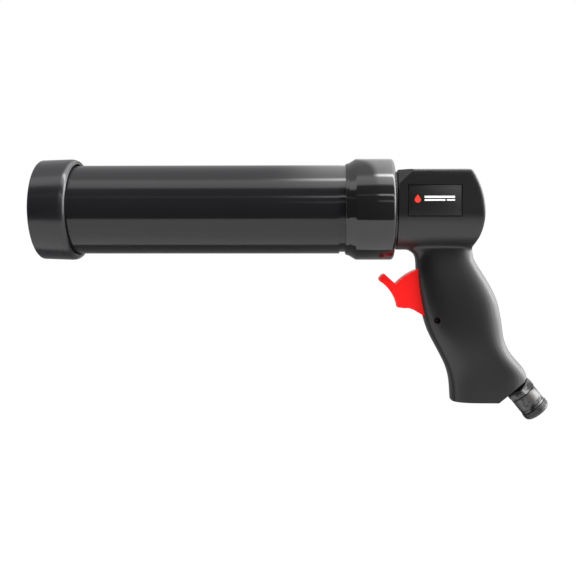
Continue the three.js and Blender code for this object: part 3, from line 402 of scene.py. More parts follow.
class Signal:
    """A number on its way through a material, which Python's operators work on."""

    def __init__(self, recipe: "Recipe", socket: bpy.types.NodeSocket) -> None:
        """Wraps one output socket."""
        self.recipe = recipe
        self.socket = socket

    def _math(self, operation: str, first: object, second: object) -> "Signal":
        """Adds one Math node."""
        node = self.recipe.node("Math", {"operation": operation}, {0: first, 1: second})
        return Signal(self.recipe, node.outputs[0])

    def __add__(self, other: "Signal | float") -> "Signal":
        """The sum."""
        return self._math("ADD", self, other)

    __radd__ = __add__

    def __mul__(self, other: "Signal | float") -> "Signal":
        """The product."""
        return self._math("MULTIPLY", self, other)

    __rmul__ = __mul__

    def __sub__(self, other: "Signal | float") -> "Signal":
        """The difference."""
        return self._math("SUBTRACT", self, other)

    def __rsub__(self, other: "Signal | float") -> "Signal":
        """The difference, the other way round."""
        return self._math("SUBTRACT", other, self)

    def __truediv__(self, other: "Signal | float") -> "Signal":
        """The quotient."""
        return self._math("DIVIDE", self, other)

    def __pow__(self, other: "Signal | float") -> "Signal":
        """The power."""
        return self._math("POWER", self, other)


class Recipe:
    """The node tree of one material or of the surroundings."""

    def __init__(self, tree: bpy.types.NodeTree) -> None:
        """Empties the tree."""
        self.tree = tree
        self.tree.nodes.clear()

    def node(
        self,
        kind: str,
        settings: dict[str, object] | None = None,
        inputs: dict[str | int, object] | None = None,
    ) -> bpy.types.Node:
        """Adds one node.

        Args:
            kind: its type, without the ShaderNode in front.
            settings: its options; "stops" holds a ramp's (place, colour) pairs.
            inputs: a value, a Signal or a socket for each of its inputs.

        Returns:
            The node.
        """
        made = self.tree.nodes.new("ShaderNode" + kind)
        for name, value in (settings or {}).items():
            if name == "stops":
                self._set_stops(made.color_ramp, value)
            else:
                setattr(made, name, value)
        for name, value in (inputs or {}).items():
            source = value.socket if isinstance(value, Signal) else value
            if isinstance(source, bpy.types.NodeSocket):
                self.tree.links.new(source, made.inputs[name])
            else:
                made.inputs[name].default_value = source
        return made

    @staticmethod
    def _set_stops(ramp: bpy.types.ColorRamp, stops: Sequence[tuple[float, Colour]]) -> None:
        """Sets a ramp's stops."""
        while len(ramp.elements) < len(stops):
            ramp.elements.new(1)
        for element, (place, colour) in zip(ramp.elements, stops):
            element.position = place
            element.color = (*colour, 1)

    def place(self, scale: Place = (1, 1, 1), turn: Place = (0, 0, 0)) -> bpy.types.NodeSocket:
        """The point on the piece, scaled and turned."""
        point = self.node("TexCoord").outputs["Object"]
        moved = self.node("Mapping", None, {"Vector": point, "Scale": scale, "Rotation": turn})
        return moved.outputs[0]

    def noise(self, at: bpy.types.NodeSocket, scale: float, detail: float = 2) -> Signal:
        """Soft noise from 0 to 1, with a scale in patches per metre."""
        inputs = {"Vector": at, "Scale": scale, "Detail": detail}
        return Signal(self, self.node("TexNoise", None, inputs).outputs[0])

    def step(self, value: Signal, low: float, high: float) -> Signal:
        """A smooth step from 0 to 1 between two values."""
        settings = {"interpolation_type": "SMOOTHSTEP", "clamp": True}
        inputs = {"Value": value, "From Min": low, "From Max": high}
        return Signal(self, self.node("MapRange", settings, inputs).outputs[0])

    def blend(self, factor: Signal, low: Colour, high: Colour) -> bpy.types.NodeSocket:
        """A colour between two others."""
        inputs = {0: factor, 6: (*low, 1), 7: (*high, 1)}
        return self.node("Mix", {"data_type": "RGBA"}, inputs).outputs[2]

    def bump(self, height: Signal, depth: float) -> bpy.types.NodeSocket:
        """Normals of a height field that is this many millimetres deep."""
        inputs = {"Height": height, "Distance": depth * MM, "Strength": 1.0}
        return self.node("Bump", None, inputs).outputs[0]

    def surface(self, inputs: dict[str | int, object]) -> None:
        """Ends the material in its shader."""
        shader = self.node("BsdfPrincipled", None, inputs)
        self.node("OutputMaterial", None, {"Surface": shader.outputs[0]})


@dataclass(frozen=True)
class Finish:
    """What a surface is made of."""

    name: str
    colour: Colour

    def material(self) -> bpy.types.Material:
        """The material, made once."""
        found = bpy.data.materials.get(self.name)
        if found:
            return found
        made = bpy.data.materials.new(self.name)
        made.use_nodes = True
        made.diffuse_color = (*self.colour, 1)
        self.mix(Recipe(made.node_tree))
        return made

    def mix(self, recipe: Recipe) -> None:
        """Builds the nodes."""
        raise NotImplementedError

    def shade(self, share: float) -> Colour:
        """The colour, lighter or darker by a share."""
        return tuple(part * share for part in self.colour)


@dataclass(frozen=True)
class Moulded(Finish):
    """Moulded plastic or rubber with a spark-eroded grain."""

    roughness: float = 0.4
    grain: float = 0.45  # size of the grain, in millimetres
    depth: float = 0.01  # depth of the grain
    mottle: float = 0.12  # how much the colour varies
    polish: float = 0.12  # how much the gloss varies where hands rub it
    shine: float = 0.5
    painted_glow: float = 0.0  # strength of the painted glow: emission that paints light into the colour

    def mix(self, recipe: Recipe) -> None:
        """Grain in the surface, clouds in the colour and in the gloss."""
        at = recipe.place()
        grain = recipe.noise(at, 1 / (self.grain * MM), 3)
        clouds = recipe.noise(at, 38, 4)
        rubbed = recipe.step(recipe.noise(at, 16, 2), 0.4, 0.66)
        speck = grain * 0.5 + clouds * 0.5
        recipe.surface(
            {
                "Base Color": recipe.blend(speck, self.shade(1 - self.mottle), self.shade(1 + self.mottle)),
                "Roughness": self.roughness + grain * 0.06 - rubbed * self.polish * self.roughness,
                "Specular IOR Level": self.shine,
                # painted light: emission makes the surface glow in its own colour, though it is no lamp
                "Emission Color": (*self.colour, 1),
                "Emission Strength": self.painted_glow,
                "Normal": recipe.bump(grain, self.depth),
            }
        )


@dataclass(frozen=True)
class Turned(Finish):
    """A surface turned on the lathe, with faint marks round its axis."""

    metallic: float = 0.0
    roughness: float = 0.1
    pitch: float = 0.35  # distance between the marks, in millimetres
    depth: float = 0.0004
    shine: float = 0.5
    tilt: float = 0.0  # angle of the axis below +X, in degrees

    def mix(self, recipe: Recipe) -> None:
        """Marks along the axis, with handling haze over them."""
        turn = (0, math.radians(-self.tilt), 0)
        marks = recipe.noise(recipe.place((1 / (self.pitch * MM), 9, 9), turn), 1, 3)
        clouds = recipe.noise(recipe.place(), 30, 4)
        haze = recipe.step(recipe.noise(recipe.place((1, 2.2, 2.2)), 11, 5), 0.42, 0.72)
        recipe.surface(
            {
                "Base Color": recipe.blend(clouds * 0.6 + marks * 0.4, self.shade(0.84), self.shade(1.16)),
                "Metallic": self.metallic,
                "Roughness": self.roughness * (0.85 + marks * 0.25) + haze * self.roughness * 0.5,
                "Specular IOR Level": self.shine,
                "Normal": recipe.bump(marks, self.depth),
            }
        )


@dataclass(frozen=True)
class Plated(Finish):
    """Plated steel, darker where the plating has worn thin."""

    dark: Colour = (0.01, 0.01, 0.011)
    metallic: float = 0.75
    roughness: float = 0.34

    def mix(self, recipe: Recipe) -> None:
        """Dark patches, fine scratches and a slight pitting."""
        at = recipe.place()
        patches = recipe.step(recipe.noise(at, 190, 4), 0.45, 0.62)
        scratches = recipe.noise(recipe.place((400, 2200, 900), (0.3, 0.9, 0.2)), 1, 3)
        pits = recipe.noise(at, 2600, 2)
        recipe.surface(
            {
                "Base Color": recipe.blend(patches, self.colour, self.dark),
                "Metallic": self.metallic,
                "Roughness": self.roughness + patches * 0.12 + scratches * 0.1,
                "Normal": recipe.bump(scratches * 0.6 + pits * 0.4, 0.006),
            }
        )


@dataclass(frozen=True)
class Sintered(Finish):
    """Porous sintered bronze."""

    grain: float = 0.4

    def mix(self, recipe: Recipe) -> None:
        """Round grains with pores between them, painted dark: a painted shade in the hollows."""
        inputs = {"Vector": recipe.place(), "Scale": 1 / (self.grain * MM)}
        pores = Signal(recipe, recipe.node("TexVoronoi", None, inputs).outputs["Distance"])
        clouds = recipe.noise(recipe.place(), 300, 3)
        recipe.surface(
            {
                # painted shade: the colour darkens to a quarter in the pores, where shade falls
                "Base Color": recipe.blend(
                    recipe.step(pores, 0.25, 0.75), self.shade(1.15), self.shade(0.25)
                ),
                "Metallic": 0.8,
                "Roughness": 0.45 + pores * 0.3 + clouds * 0.1,
                "Normal": recipe.bump(1 - pores, 0.08),
            }
        )


@dataclass(frozen=True)
class Printed(Finish):
    """Ink or film on a label, with the film's fine texture."""

    roughness: float = 0.35
    # painted glow: emission that paints light into the ink
    painted_glow: float = 0.0

    def mix(self, recipe: Recipe) -> None:
        """A fine weave of ink dots and slight fading."""
        at = recipe.place()
        dots = recipe.noise(at, 5200, 1)
        fade = recipe.noise(at, 120, 3)
        recipe.surface(
            {
                "Base Color": recipe.blend(dots * 0.3 + fade * 0.7, self.shade(0.88), self.shade(1.08)),
                "Roughness": self.roughness + dots * 0.1,
                # painted light: the ink glows by emission, though it is no lamp
                "Emission Color": (*self.colour, 1),
                "Emission Strength": self.painted_glow,
                "Normal": recipe.bump(dots, 0.003),
            }
        )


TUBE_BLACK = Turned("black_gloss_tube", (0.0115, 0.0112, 0.0125), roughness=0.11, shine=0.36)
COLLAR_BLACK = Turned("black_gloss_collar", (0.012, 0.012, 0.0125), roughness=0.065, shine=0.52)
CAP_BLACK = Moulded(
    "moulded_cap_black", (0.0125, 0.0125, 0.0145),
    roughness=0.2, grain=0.6, depth=0.004, polish=0.25, shine=0.42,
)
HOUSING_BLACK = Moulded(
    "moulded_housing_black", (0.0105, 0.0105, 0.0112), roughness=0.33, grain=0.5, depth=0.012, shine=0.45
)
# painted light: the red trigger glows a little by emission
TRIGGER_RED = Moulded(
    "moulded_trigger_red", (0.88, 0.0115, 0.0105),
    roughness=0.3, grain=0.5, depth=0.006, mottle=0.05, shine=0.4, painted_glow=0.2,
)
SLIP_WHITE = Moulded("acetal_natural", (0.62, 0.6, 0.55), roughness=0.35, depth=0.004, mottle=0.05)
SEAL_BLACK = Moulded("nitrile_rubber", (0.012, 0.012, 0.013), roughness=0.6, grain=0.3, depth=0.02, shine=0.3)
RING_BLACK = Moulded("moulded_ring_black", (0.02, 0.02, 0.021), roughness=0.38, grain=0.3, depth=0.01)
CAST_ALLOY = Turned(
    "turned_alloy", (0.09, 0.09, 0.095), metallic=0.9, roughness=0.35, pitch=0.25, depth=0.002
)
BRASS = Turned("turned_brass", (0.6, 0.42, 0.16), metallic=1.0, roughness=0.28, pitch=0.2, depth=0.002)
STEEL = Turned("turned_stainless", (0.5, 0.5, 0.49), metallic=1.0, roughness=0.2, pitch=0.15, depth=0.001)
SCREW_BLACK = Plated("black_oxide", (0.03, 0.03, 0.032), metallic=0.6, roughness=0.4)
FITTING_GREY = Plated("dark_plated_steel", (0.085, 0.083, 0.082), roughness=0.36)
BRONZE = Sintered("sintered_bronze", (0.33, 0.22, 0.1))
LABEL_FILM = Printed("label_film_black", (0.011, 0.011, 0.011), roughness=0.3)
# painted light: the white and the red ink glow a little by emission
INK_WHITE = Printed("label_ink_white", (0.82, 0.82, 0.82), painted_glow=0.35)
INK_RED = Printed("label_ink_red", (0.76, 0.04, 0.022), painted_glow=0.3)


# ---------------------------------------------------------------- barrel, cap and collar


@dataclass
class Barrel:
    """The long tube, its two threaded ends and the ring that the cap's wall turns against."""

    wall: float = 2.15
    edge: float = 0.5
    relief_width: float = 3.7
    relief_depth: float = 0.55
    relief_offset: float = 0.7
    relief_angle: float = 45

    def tube(self) -> Workpiece:
        """Turns the tube and cuts its eccentric relief.

        Returns:
            The tube.
        """
        low, high = span("barrel")
        front, rear, outer = low.x, high.x, high.y
        bore, edge = outer - self.wall, self.edge
        made = Workpiece.turned(
            "barrel_tube",
            [
                (front, bore + edge), (front, outer - edge), (front + edge, outer), (rear - edge, outer),
                (rear, outer - edge), (rear, bore + edge), (rear - edge, bore), (front + edge, bore),
                (front, bore + edge),
            ],
            2 * ROUND,
        )
        end = span("rear_collar")[0].x - GAP
        begin = end - self.relief_width
        towards = math.radians(self.relief_angle)
        aside = Vector((0, self.relief_offset * math.sin(towards), self.relief_offset * math.cos(towards)))
        kept = Workpiece.rod("kept", (begin - 1, end + 1), outer - self.relief_depth, 2 * ROUND)
        kept.moved(Matrix.Translation(aside * MM))
        waste = Workpiece.rod("waste", (begin, end), outer + 2, 2 * ROUND).cut(kept)
        return made.cut(waste).smooth()

    def thrust_ring(self) -> Workpiece:
        """The slippery ring behind the cap's front wall."""
        low, high = span("thrust_ring")
        inner, outer, edge = 15.3, high.y, 0.25
        profile = [
            (low.x, inner + edge), (low.x, outer - edge), (low.x + edge, outer), (high.x, outer),
            (high.x, inner), (low.x + edge, inner), (low.x, inner + edge),
        ]
        return Workpiece.turned("cap_thrust_ring", profile).smooth()

    def build(self) -> None:
        """Makes and dresses both pieces."""
        self.tube().finished(TUBE_BLACK, "barrel", "anodised_black", "barrel")
        self.thrust_ring().finished(SLIP_WHITE, "thrust_ring", "slip_plastic", "thrust_ring")


@dataclass
class FrontCap:
    """The moulded cap with the nozzle's mouth."""

    taper: float = 0.6
    edge: float = 0.9
    front_wall: float = 2.6
    bevel: float = 4.2
    lip: float = 30.35
    lip_edge: float = 0.35
    groove_bore: float = 29.15
    groove_depth: float = 3.6
    thread_bore: float = 28.45
    mouth: float = 15

    def build(self) -> None:
        """Turns the cap in one piece, with its rounded rear bevel and the groove inside its lip."""
        low, high = span("front_cap")
        front, rear, outer = low.x, high.x, high.y
        inside = front + self.front_wall
        start, height = rear - self.bevel, outer - self.lip
        curve = [(start + self.bevel * s, self.lip + height * h) for h, s in arc((0, 0), 1, 0, 78, 12)]
        edge = arc((front + self.edge, outer - self.taper - self.edge), self.edge, 180, 90, 6)
        profile = [
            (front, self.mouth + 0.6), *edge, *curve,
            (rear - self.lip_edge, self.lip), (rear, self.lip - self.lip_edge),
            (rear, self.groove_bore + 0.15), (rear - 0.15, self.groove_bore),
            (rear - self.groove_depth, self.groove_bore), (rear - self.groove_depth, self.thread_bore),
            (inside, self.thread_bore), (inside, self.mouth), (front + 0.6, self.mouth),
            (front, self.mouth + 0.6),
        ]
        cap = Workpiece.turned("front_cap_moulding", profile).smooth(40)
        cap.finished(CAP_BLACK, "front_cap", "cap_black", "front_cap")


@dataclass
class RearCollar:
    """The union nut that pulls the barrel against the head."""

    lip: float = 29.4
    draft: float = 0.5
    lip_length: float = 1.9
    chamfer: float = 4.5
    edge: float = 2.2
    rear_wall: float = 1.9
    neck_bore: float = 23.2
    flange_room: float = 28.75
    thread_bore: float = 28.45

    def build(self) -> None:
        """Turns the nut."""
        low, high = span("rear_collar")
        front, rear, outer = low.x, high.x, high.y
        step = front + self.lip_length
        profile = [
            (front, self.thread_bore + 0.2), (front, self.lip - self.draft - 0.15),
            (front + 0.15, self.lip - self.draft), (step, self.lip), (step + 0.35, self.lip + 0.1),
            (step + self.chamfer - 0.3, outer - 0.22), (step + self.chamfer + 0.25, outer),
            *arc((rear - self.edge, outer - self.edge), self.edge, 90, 0, 8),
            (rear, self.neck_bore + 0.3), (rear - 0.3, self.neck_bore),
            (rear - self.rear_wall, self.neck_bore), (rear - self.rear_wall, self.flange_room),
            (-0.6, self.flange_room), (-0.6, self.thread_bore), (front + 0.2, self.thread_bore),
            (front, self.thread_bore + 0.2),
        ]
        collar = Workpiece.turned("rear_collar_nut", profile, 2 * ROUND).smooth(24)
        collar.finished(COLLAR_BLACK, "collar", "anodised_black", "rear_collar")


# ---------------------------------------------------------------- air inlet's axis

INLET_AXIS = Matrix.Translation((83.5 * MM, 0, -110.9 * MM)) @ Matrix.Rotation(math.radians(51), 4, "Y")


# ---------------------------------------------------------------- handle


@dataclass
class Handle:
    """The two moulded shells, which are the head and the grip in one."""

    edge_blend: int = 12  # smoothing passes that round every edge
    rim_blend: int = 26  # further passes along the head's top and rear edges
    crease_blend: int = 30  # further passes where the head runs into the grip
    voxel: float = 0.6
    wall: float = 2.8
    front_wall: float = 2.5
    rear_radius: float = 47
    rear_centre: Point = (13.3, -3)
    cone_radius: float = 29.5
    cone_slope: float = 28
    neck_hole: float = 18.8
    squareness: float = 3.5
    front_edge: tuple[Point, ...] = (
        (-17, 13.8), (-25, 14.3), (-28, 18.7), (-32.5, 20.1), (-44, 20.6), (-62.4, 23.6),
        (-77, 27.8), (-92.5, 35.7), (-100, 39.3), (-108, 41.5), (-121.2, 42.6),
    )
    rear_edge: tuple[Point, ...] = (
        (-17, 55.2), (-28, 56), (-32.5, 57.2), (-46.6, 65.8), (-56.8, 70.7), (-67, 73.2),
        (-83, 75.8), (-91, 79.7), (-101, 88), (-106, 90), (-121.2, 90.5),
    )
    half_width: tuple[Point, ...] = (
        (-17, 10.5), (-28, 10.7), (-45, 13.2), (-62, 15), (-78, 15.6), (-98, 14.8), (-121.2, 14.5),
    )
    pivot: Point = (32.4, -69.7)
    slot_reach: float = 34.1
    slot_half: float = 7.3
    slot_lowest: float = 169
    hub_room: float = 5.75
    pin_hole: float = 2.0
    pin_boss: float = 4.5
    valve: tuple[float, float, float, float] = (38.2, 60.5, -53.7, 6.5)
    valve_pad: float = 4
    valve_room: float = 6.8
    silencer: Point = (60, 6.8)
    label: tuple[float, float, float, float] = (13.1, 45.7, -5, 14.1)
    label_depth: float = 1.0
    label_draft: float = 1.0  # lean of the lower wall for each millimetre of depth
    screws: tuple[Point, ...] = (
        (25, 18), (54.5, 14.5), (25.2, -31.2), (66.5, -69), (40.5, -88), (49.5, -111),
    )
    screw_room: float = 1.8
    screw_head_room: float = 3.4
    screw_land: float = 7

    def head(self, inset: float) -> Workpiece:
        """Shapes the head from a rod: flat sides and top above the axis, round below.

        Args:
            inset: how far inside the outer surface it lies.

        Returns:
            The head, too long at its front unless it is inset.
        """
        low, high = span("left_shell")
        radius, top = -low.y - inset, high.z - inset
        front = low.x + self.front_wall if inset else low.x - 14
        made = Workpiece.rod("head", (front, 75), radius, 192)
        with made.editing():
            bpy.ops.mesh.bisect(
                plane_co=(0, 0, 0), plane_no=(0, 0, 1), clear_outer=True, use_fill=True
            )
        with made.editing(Parts.FACES, lambda middle, normal: normal.z > 0.99 and middle.z > -0.1):
            bpy.ops.mesh.extrude_region_move(
                TRANSFORM_OT_translate={"value": (0, 0, top * MM)}
            )
        bulge = Workpiece.rod("bulge", (-60, 60), self.rear_radius - inset, 256)
        centre = Vector((self.rear_centre[0], 0, self.rear_centre[1])) * MM
        bulge.moved(Matrix.Translation(centre) @ Matrix.Rotation(math.pi / 2, 4, "Z"))
        return made.closed().keep(bulge)

    def grip(self, inset: float, levels: int, foot: float) -> Workpiece:
        """Draws the grip down level by level from a rounded section.

        Args:
            inset: how far inside the outer surface it lies.
            levels: number of levels.
            foot: z of its lower end.

        Returns:
            The grip.
        """
        front, rear, half = through(self.front_edge), through(self.rear_edge), through(self.half_width)
        Workpiece.clear()
        bpy.ops.mesh.primitive_plane_add(size=2 * MM)
        made = Workpiece("grip")
        top = self.front_edge[0][0]
        bottom = self.front_edge[-1][0]
        middle, reach, wide, height = 0.0, 1.0, 1.0, 0.0
        with made.editing():
            share = 2 ** (-2 / self.squareness)
            bpy.ops.mesh.bevel(affect="VERTICES", offset=MM, segments=14, profile=share)
            bpy.ops.mesh.remove_doubles(threshold=1e-6)
            bpy.ops.mesh.select_all(action="SELECT")
            for i in range(levels + 1):
                z = top + (foot - top) * i / levels
                at = max(z, bottom)
                ends = front(at), rear(at)
                onward = (ends[0] + ends[1]) / 2
                depth, width = (ends[1] - ends[0]) / 2 - inset, half(at) - inset
                step = ((onward - middle) * MM, 0, (z - height) * MM)
                if i:
                    bpy.ops.mesh.extrude_region_move(TRANSFORM_OT_translate={"value": step})
                else:
                    bpy.ops.transform.translate(value=step)
                bpy.ops.transform.resize(
                    value=(depth / reach, width / wide, 1),
                    center_override=(onward * MM, 0, z * MM),
                )
                middle, reach, wide, height = onward, depth, width, z
        return made.closed()

    def outside(self) -> Workpiece:
        """Runs the head and the grip into one soft moulded form, then cuts its crisp faces.

        Returns:
            The solid handle.
        """
        low = span("left_shell")[0]
        made = self.head(0).join(self.grip(0, 70, low.z - 6))
        made.modify("REMESH", mode="VOXEL", voxel_size=self.voxel * MM, adaptivity=0)
        made.modify("SMOOTH", factor=0.5, iterations=self.edge_blend)
        centre_x, centre_z = self.rear_centre
        self.ease(made, self.crease_blend, lambda at, normal: -33 < at.z < -19 and at.x > 9)
        self.ease(
            made,
            self.rim_blend,
            lambda at, normal: at.z > -24
            and (at.z > 17 or math.hypot(at.x - centre_x, at.z - centre_z) > self.rear_radius - 6),
        )
        slope = math.tan(math.radians(self.cone_slope))
        ends = low.x, low.x + 30
        widths = self.cone_radius, self.cone_radius + 30 * slope
        cone = Workpiece.turned("cone", list(zip(ends, widths)), 2 * ROUND)
        made.cut(Workpiece.block("waste", (low.x - 20, -60, -29), (low.x + 20, 60, 60)).cut(cone))
        under = Workpiece.block("under", (-50, -60, low.z), (150, 60, 60))
        made.keep(under)
        face = Workpiece.block("face", (-200, -60, -200), (0, 60, 200)).moved(INLET_AXIS)
        return made.keep(face)

    @staticmethod
    def ease(piece: Workpiece, passes: int, chosen: Test) -> None:
        """Softens the corners that a test picks.

        Args:
            piece: the piece.
            passes: number of smoothing passes.
            chosen: picks corners by their place and normal.
        """
        with piece.editing(Parts.CORNERS, chosen):
            bpy.ops.object.vertex_group_add()
            bpy.ops.object.vertex_group_assign()
        group = piece.item.vertex_groups[0].name
        piece.modify("SMOOTH", factor=0.5, iterations=passes, vertex_group=group)
        piece.item.vertex_groups.clear()

    def cavity(self) -> Workpiece:
        """The room inside, less the bosses that cross it.

        Returns:
            The solid that the shells are hollowed with.
        """
        inside = self.head(self.wall).join(self.grip(self.wall, 30, span("left_shell")[0].z + self.wall))
        bosses = [self.across("boss", place, 4.9, (-40, 40)) for place in self.screws]
        front, rear, height, radius = self.valve
        pad = self.across("pad", ((front + rear) / 2, height), self.valve_pad, (-40, 40))
        room = Workpiece.block(
            "room",
            (front, -self.valve_room, height - radius),
            (rear, self.valve_room, height + radius),
        )
        bosses.append(pad.cut(room))
        bosses.append(self.across("pin boss", self.pivot, self.pin_boss, (-40, 40)))
        inside.cut(*bosses)
        room = Workpiece.block("room", (-200, -60, -200), (-self.wall, 60, 200)).moved(INLET_AXIS)
        return inside.keep(room)

    @staticmethod
    def across(name: str, place: Point, radius: float, ends: Point, sides: int = 48) -> Workpiece:
        """A rod along Y through a point in X and Z."""
        made = Workpiece.rod(name, ends, radius, sides)
        at = Matrix.Translation((place[0] * MM, 0, place[1] * MM))
        return made.moved(at @ Matrix.Rotation(math.pi / 2, 4, "Z"))

    def slot(self) -> Workpiece:
        """The room that the trigger swings in."""
        x, z = self.pivot
        outline = [(x, z), *arc(self.pivot, self.slot_reach, 90, self.slot_lowest, 40)]
        made = Workpiece.plate("slot", outline, -self.slot_half, self.slot_half)
        return made.join(self.across("hub", self.pivot, self.hub_room, (-7.3, 7.3)))

    def pocket(self, side: int) -> Workpiece:
        """The drafted pocket for one label."""
        left, right, bottom, top = self.label
        floor = -span("left_shell")[0].y - self.label_depth
        outline = [(left, bottom), (right, bottom), (right, top), (left, top)]
        near, far = sorted((side * floor, side * (floor + 2)))
        made = Workpiece.plate("pocket", outline, near, far)
        wide = 1 + 0.8 / (right - left)
        tall = 1 + 2 * self.label_draft / (top - bottom)
        with made.editing(Parts.FACES, lambda middle, normal: normal.y * side > 0.9):
            bpy.ops.transform.resize(
                value=(wide, 1, tall),
                center_override=((left + right) / 2 * MM, 0, top * MM),
            )
        return made

    def openings(self) -> list[Workpiece]:
        """Everything that is cut through the walls."""
        low, tip = span("left_shell")[0], span("shell_screw_1")[0].y
        land, head, hole = self.screw_land, self.screw_head_room, self.screw_room
        well = [(-1, hole), (land, hole), (land, head), (40, head)]
        made = [
            Workpiece.rod("neck", (low.x - 1, low.x + self.front_wall + 1), self.neck_hole),
            self.slot(),
            self.across("pin", self.pivot, self.pin_hole, (-40, 40)),
            self.pocket(-1),
            self.pocket(1),
            Workpiece.turned(
                "neck of the inlet",
                [(-17, 7.2), (-self.wall, 7.2), (-self.wall, 5.9), (1, 5.9)],
                SMALL_ROUND,
            ).moved(INLET_AXIS),
        ]
        x, radius = self.silencer
        upright = Matrix.Translation((x * MM, 0, 0)) @ Matrix.Rotation(-math.pi / 2, 4, "Y")
        made.append(Workpiece.rod("silencer", (low.z - 1, low.z + 12), radius, SMALL_ROUND).moved(upright))
        for x, z in self.screws:
            at = Matrix.Translation((x * MM, 0, z * MM)) @ Matrix.Rotation(math.pi / 2, 4, "Z")
            made.append(Workpiece.turned("well", well, 48).moved(at))
            made.append(self.across("pilot", (x, z), hole, (tip - 0.5, 1)))
        return made

    def build(self) -> None:
        """Moulds both shells."""
        whole = self.outside().cut(self.cavity(), *self.openings())
        other = whole.copy("right_shell_moulding")
        whole.item.name = whole.item.data.name = "left_shell_moulding"
        half = GAP / 2
        whole.keep(Workpiece.block("near", (-300, -300, -300), (300, -half, 300))).smooth(28)
        other.keep(Workpiece.block("far", (-300, half, -300), (300, 300, 300))).smooth(28)
        whole.finished(HOUSING_BLACK, "handle", "housing_black", "left_shell")
        other.finished(HOUSING_BLACK, "handle", "housing_black", "right_shell")


@dataclass
class Screws:
    """The six screws that hold the shells together."""

    head: float = 3.1
    shank: float = 1.5
    count: int = 6

    def build(self) -> None:
        """Makes one screw with a cross recess and sets a copy in each well."""
        low, high = span("shell_screw_1")
        tip, top = low.y, high.y
        under = top - 2.4
        profile = [
            (tip, 0.4), (tip + 1.2, self.shank), (under, self.shank), (under, self.head - 0.15),
            (under + 0.15, self.head), (top - 0.9, self.head), (top - 0.35, self.head - 0.25),
            (top, self.head - 0.9),
        ]
        first = Workpiece.turned("screw", profile, SMALL_ROUND)
        first.moved(Matrix.Rotation(math.pi / 2, 4, "Z"))
        for size in ((1.9, 0.35), (0.35, 1.9)):
            first.cut(
                Workpiece.block("recess", (-size[0], top - 1.3, -size[1]), (size[0], top + 1, size[1]))
            )
        first.smooth()
        for number in range(1, self.count + 1):
            node = f"shell_screw_{number}"
            low, high = span(node)
            place = Vector(((low.x + high.x) / 2, 0, (low.z + high.z) / 2)) * MM
            screw = first.copy(f"screw_{number}")
            turn = Matrix.Rotation(math.radians(17 + 41 * number), 4, "Y")
            screw.moved(Matrix.Translation(place) @ turn)
            screw.finished(SCREW_BLACK, "handle", "screw_steel", node)
        bpy.data.objects.remove(first.item)


@dataclass
class Labels:
    """The film in each side's pocket, printed with a plain generic mark."""

    emblem: Point = (18.9, 5.5)
    emblem_size: float = 2.4
    bars: tuple[tuple[float, float, float, float], ...] = (
        (23, 41.4, 5.9, 7.2), (23, 35.5, 4.2, 5.1), (36.5, 41.4, 4.2, 5.1),
    )
    ink: float = 0.05

    def emblem_outline(self) -> list[Point]:
        """A drop, point up."""
        x, z = self.emblem
        size = self.emblem_size
        bowl = arc((x, z - 0.25 * size), size * 0.78, 150, 390, 26)
        return [(x, z + 1.05 * size), *bowl]

    def build(self) -> None:
        """Makes the film and the print for both sides."""
        for side, name in ((-1, "left"), (1, "right")):
            low, high = span(f"{name}_label")
            outline = [(low.x, low.z), (high.x, low.z), (high.x, high.z), (low.x, high.z)]
            film = Workpiece.plate(f"{name}_label_film", outline, low.y, high.y)
            film.rounded(0.08, segments=2).smooth()
            film.finished(LABEL_FILM, "handle", "label_film", f"{name}_label")
            face = high.y if side > 0 else low.y
            near, far = sorted((face - side * 0.02, face + side * self.ink))
            middle = (low.x + high.x) / 2
            place = [(2 * middle - x if side > 0 else x, z) for x, z in self.emblem_outline()]
            drop = Workpiece.plate(f"{name}_label_drop", place, near, far)
            drop.finished(INK_RED, "handle", "label_film")
            for number, (start, end, bottom, top) in enumerate(self.bars, 1):
                if side > 0:
                    start, end = 2 * middle - end, 2 * middle - start
                corners = [(start, bottom), (end, bottom), (end, top), (start, top)]
                bar = Workpiece.plate(f"{name}_label_bar_{number}", corners, near, far)
                bar.finished(INK_WHITE, "handle", "label_film")


# ---------------------------------------------------------------- trigger


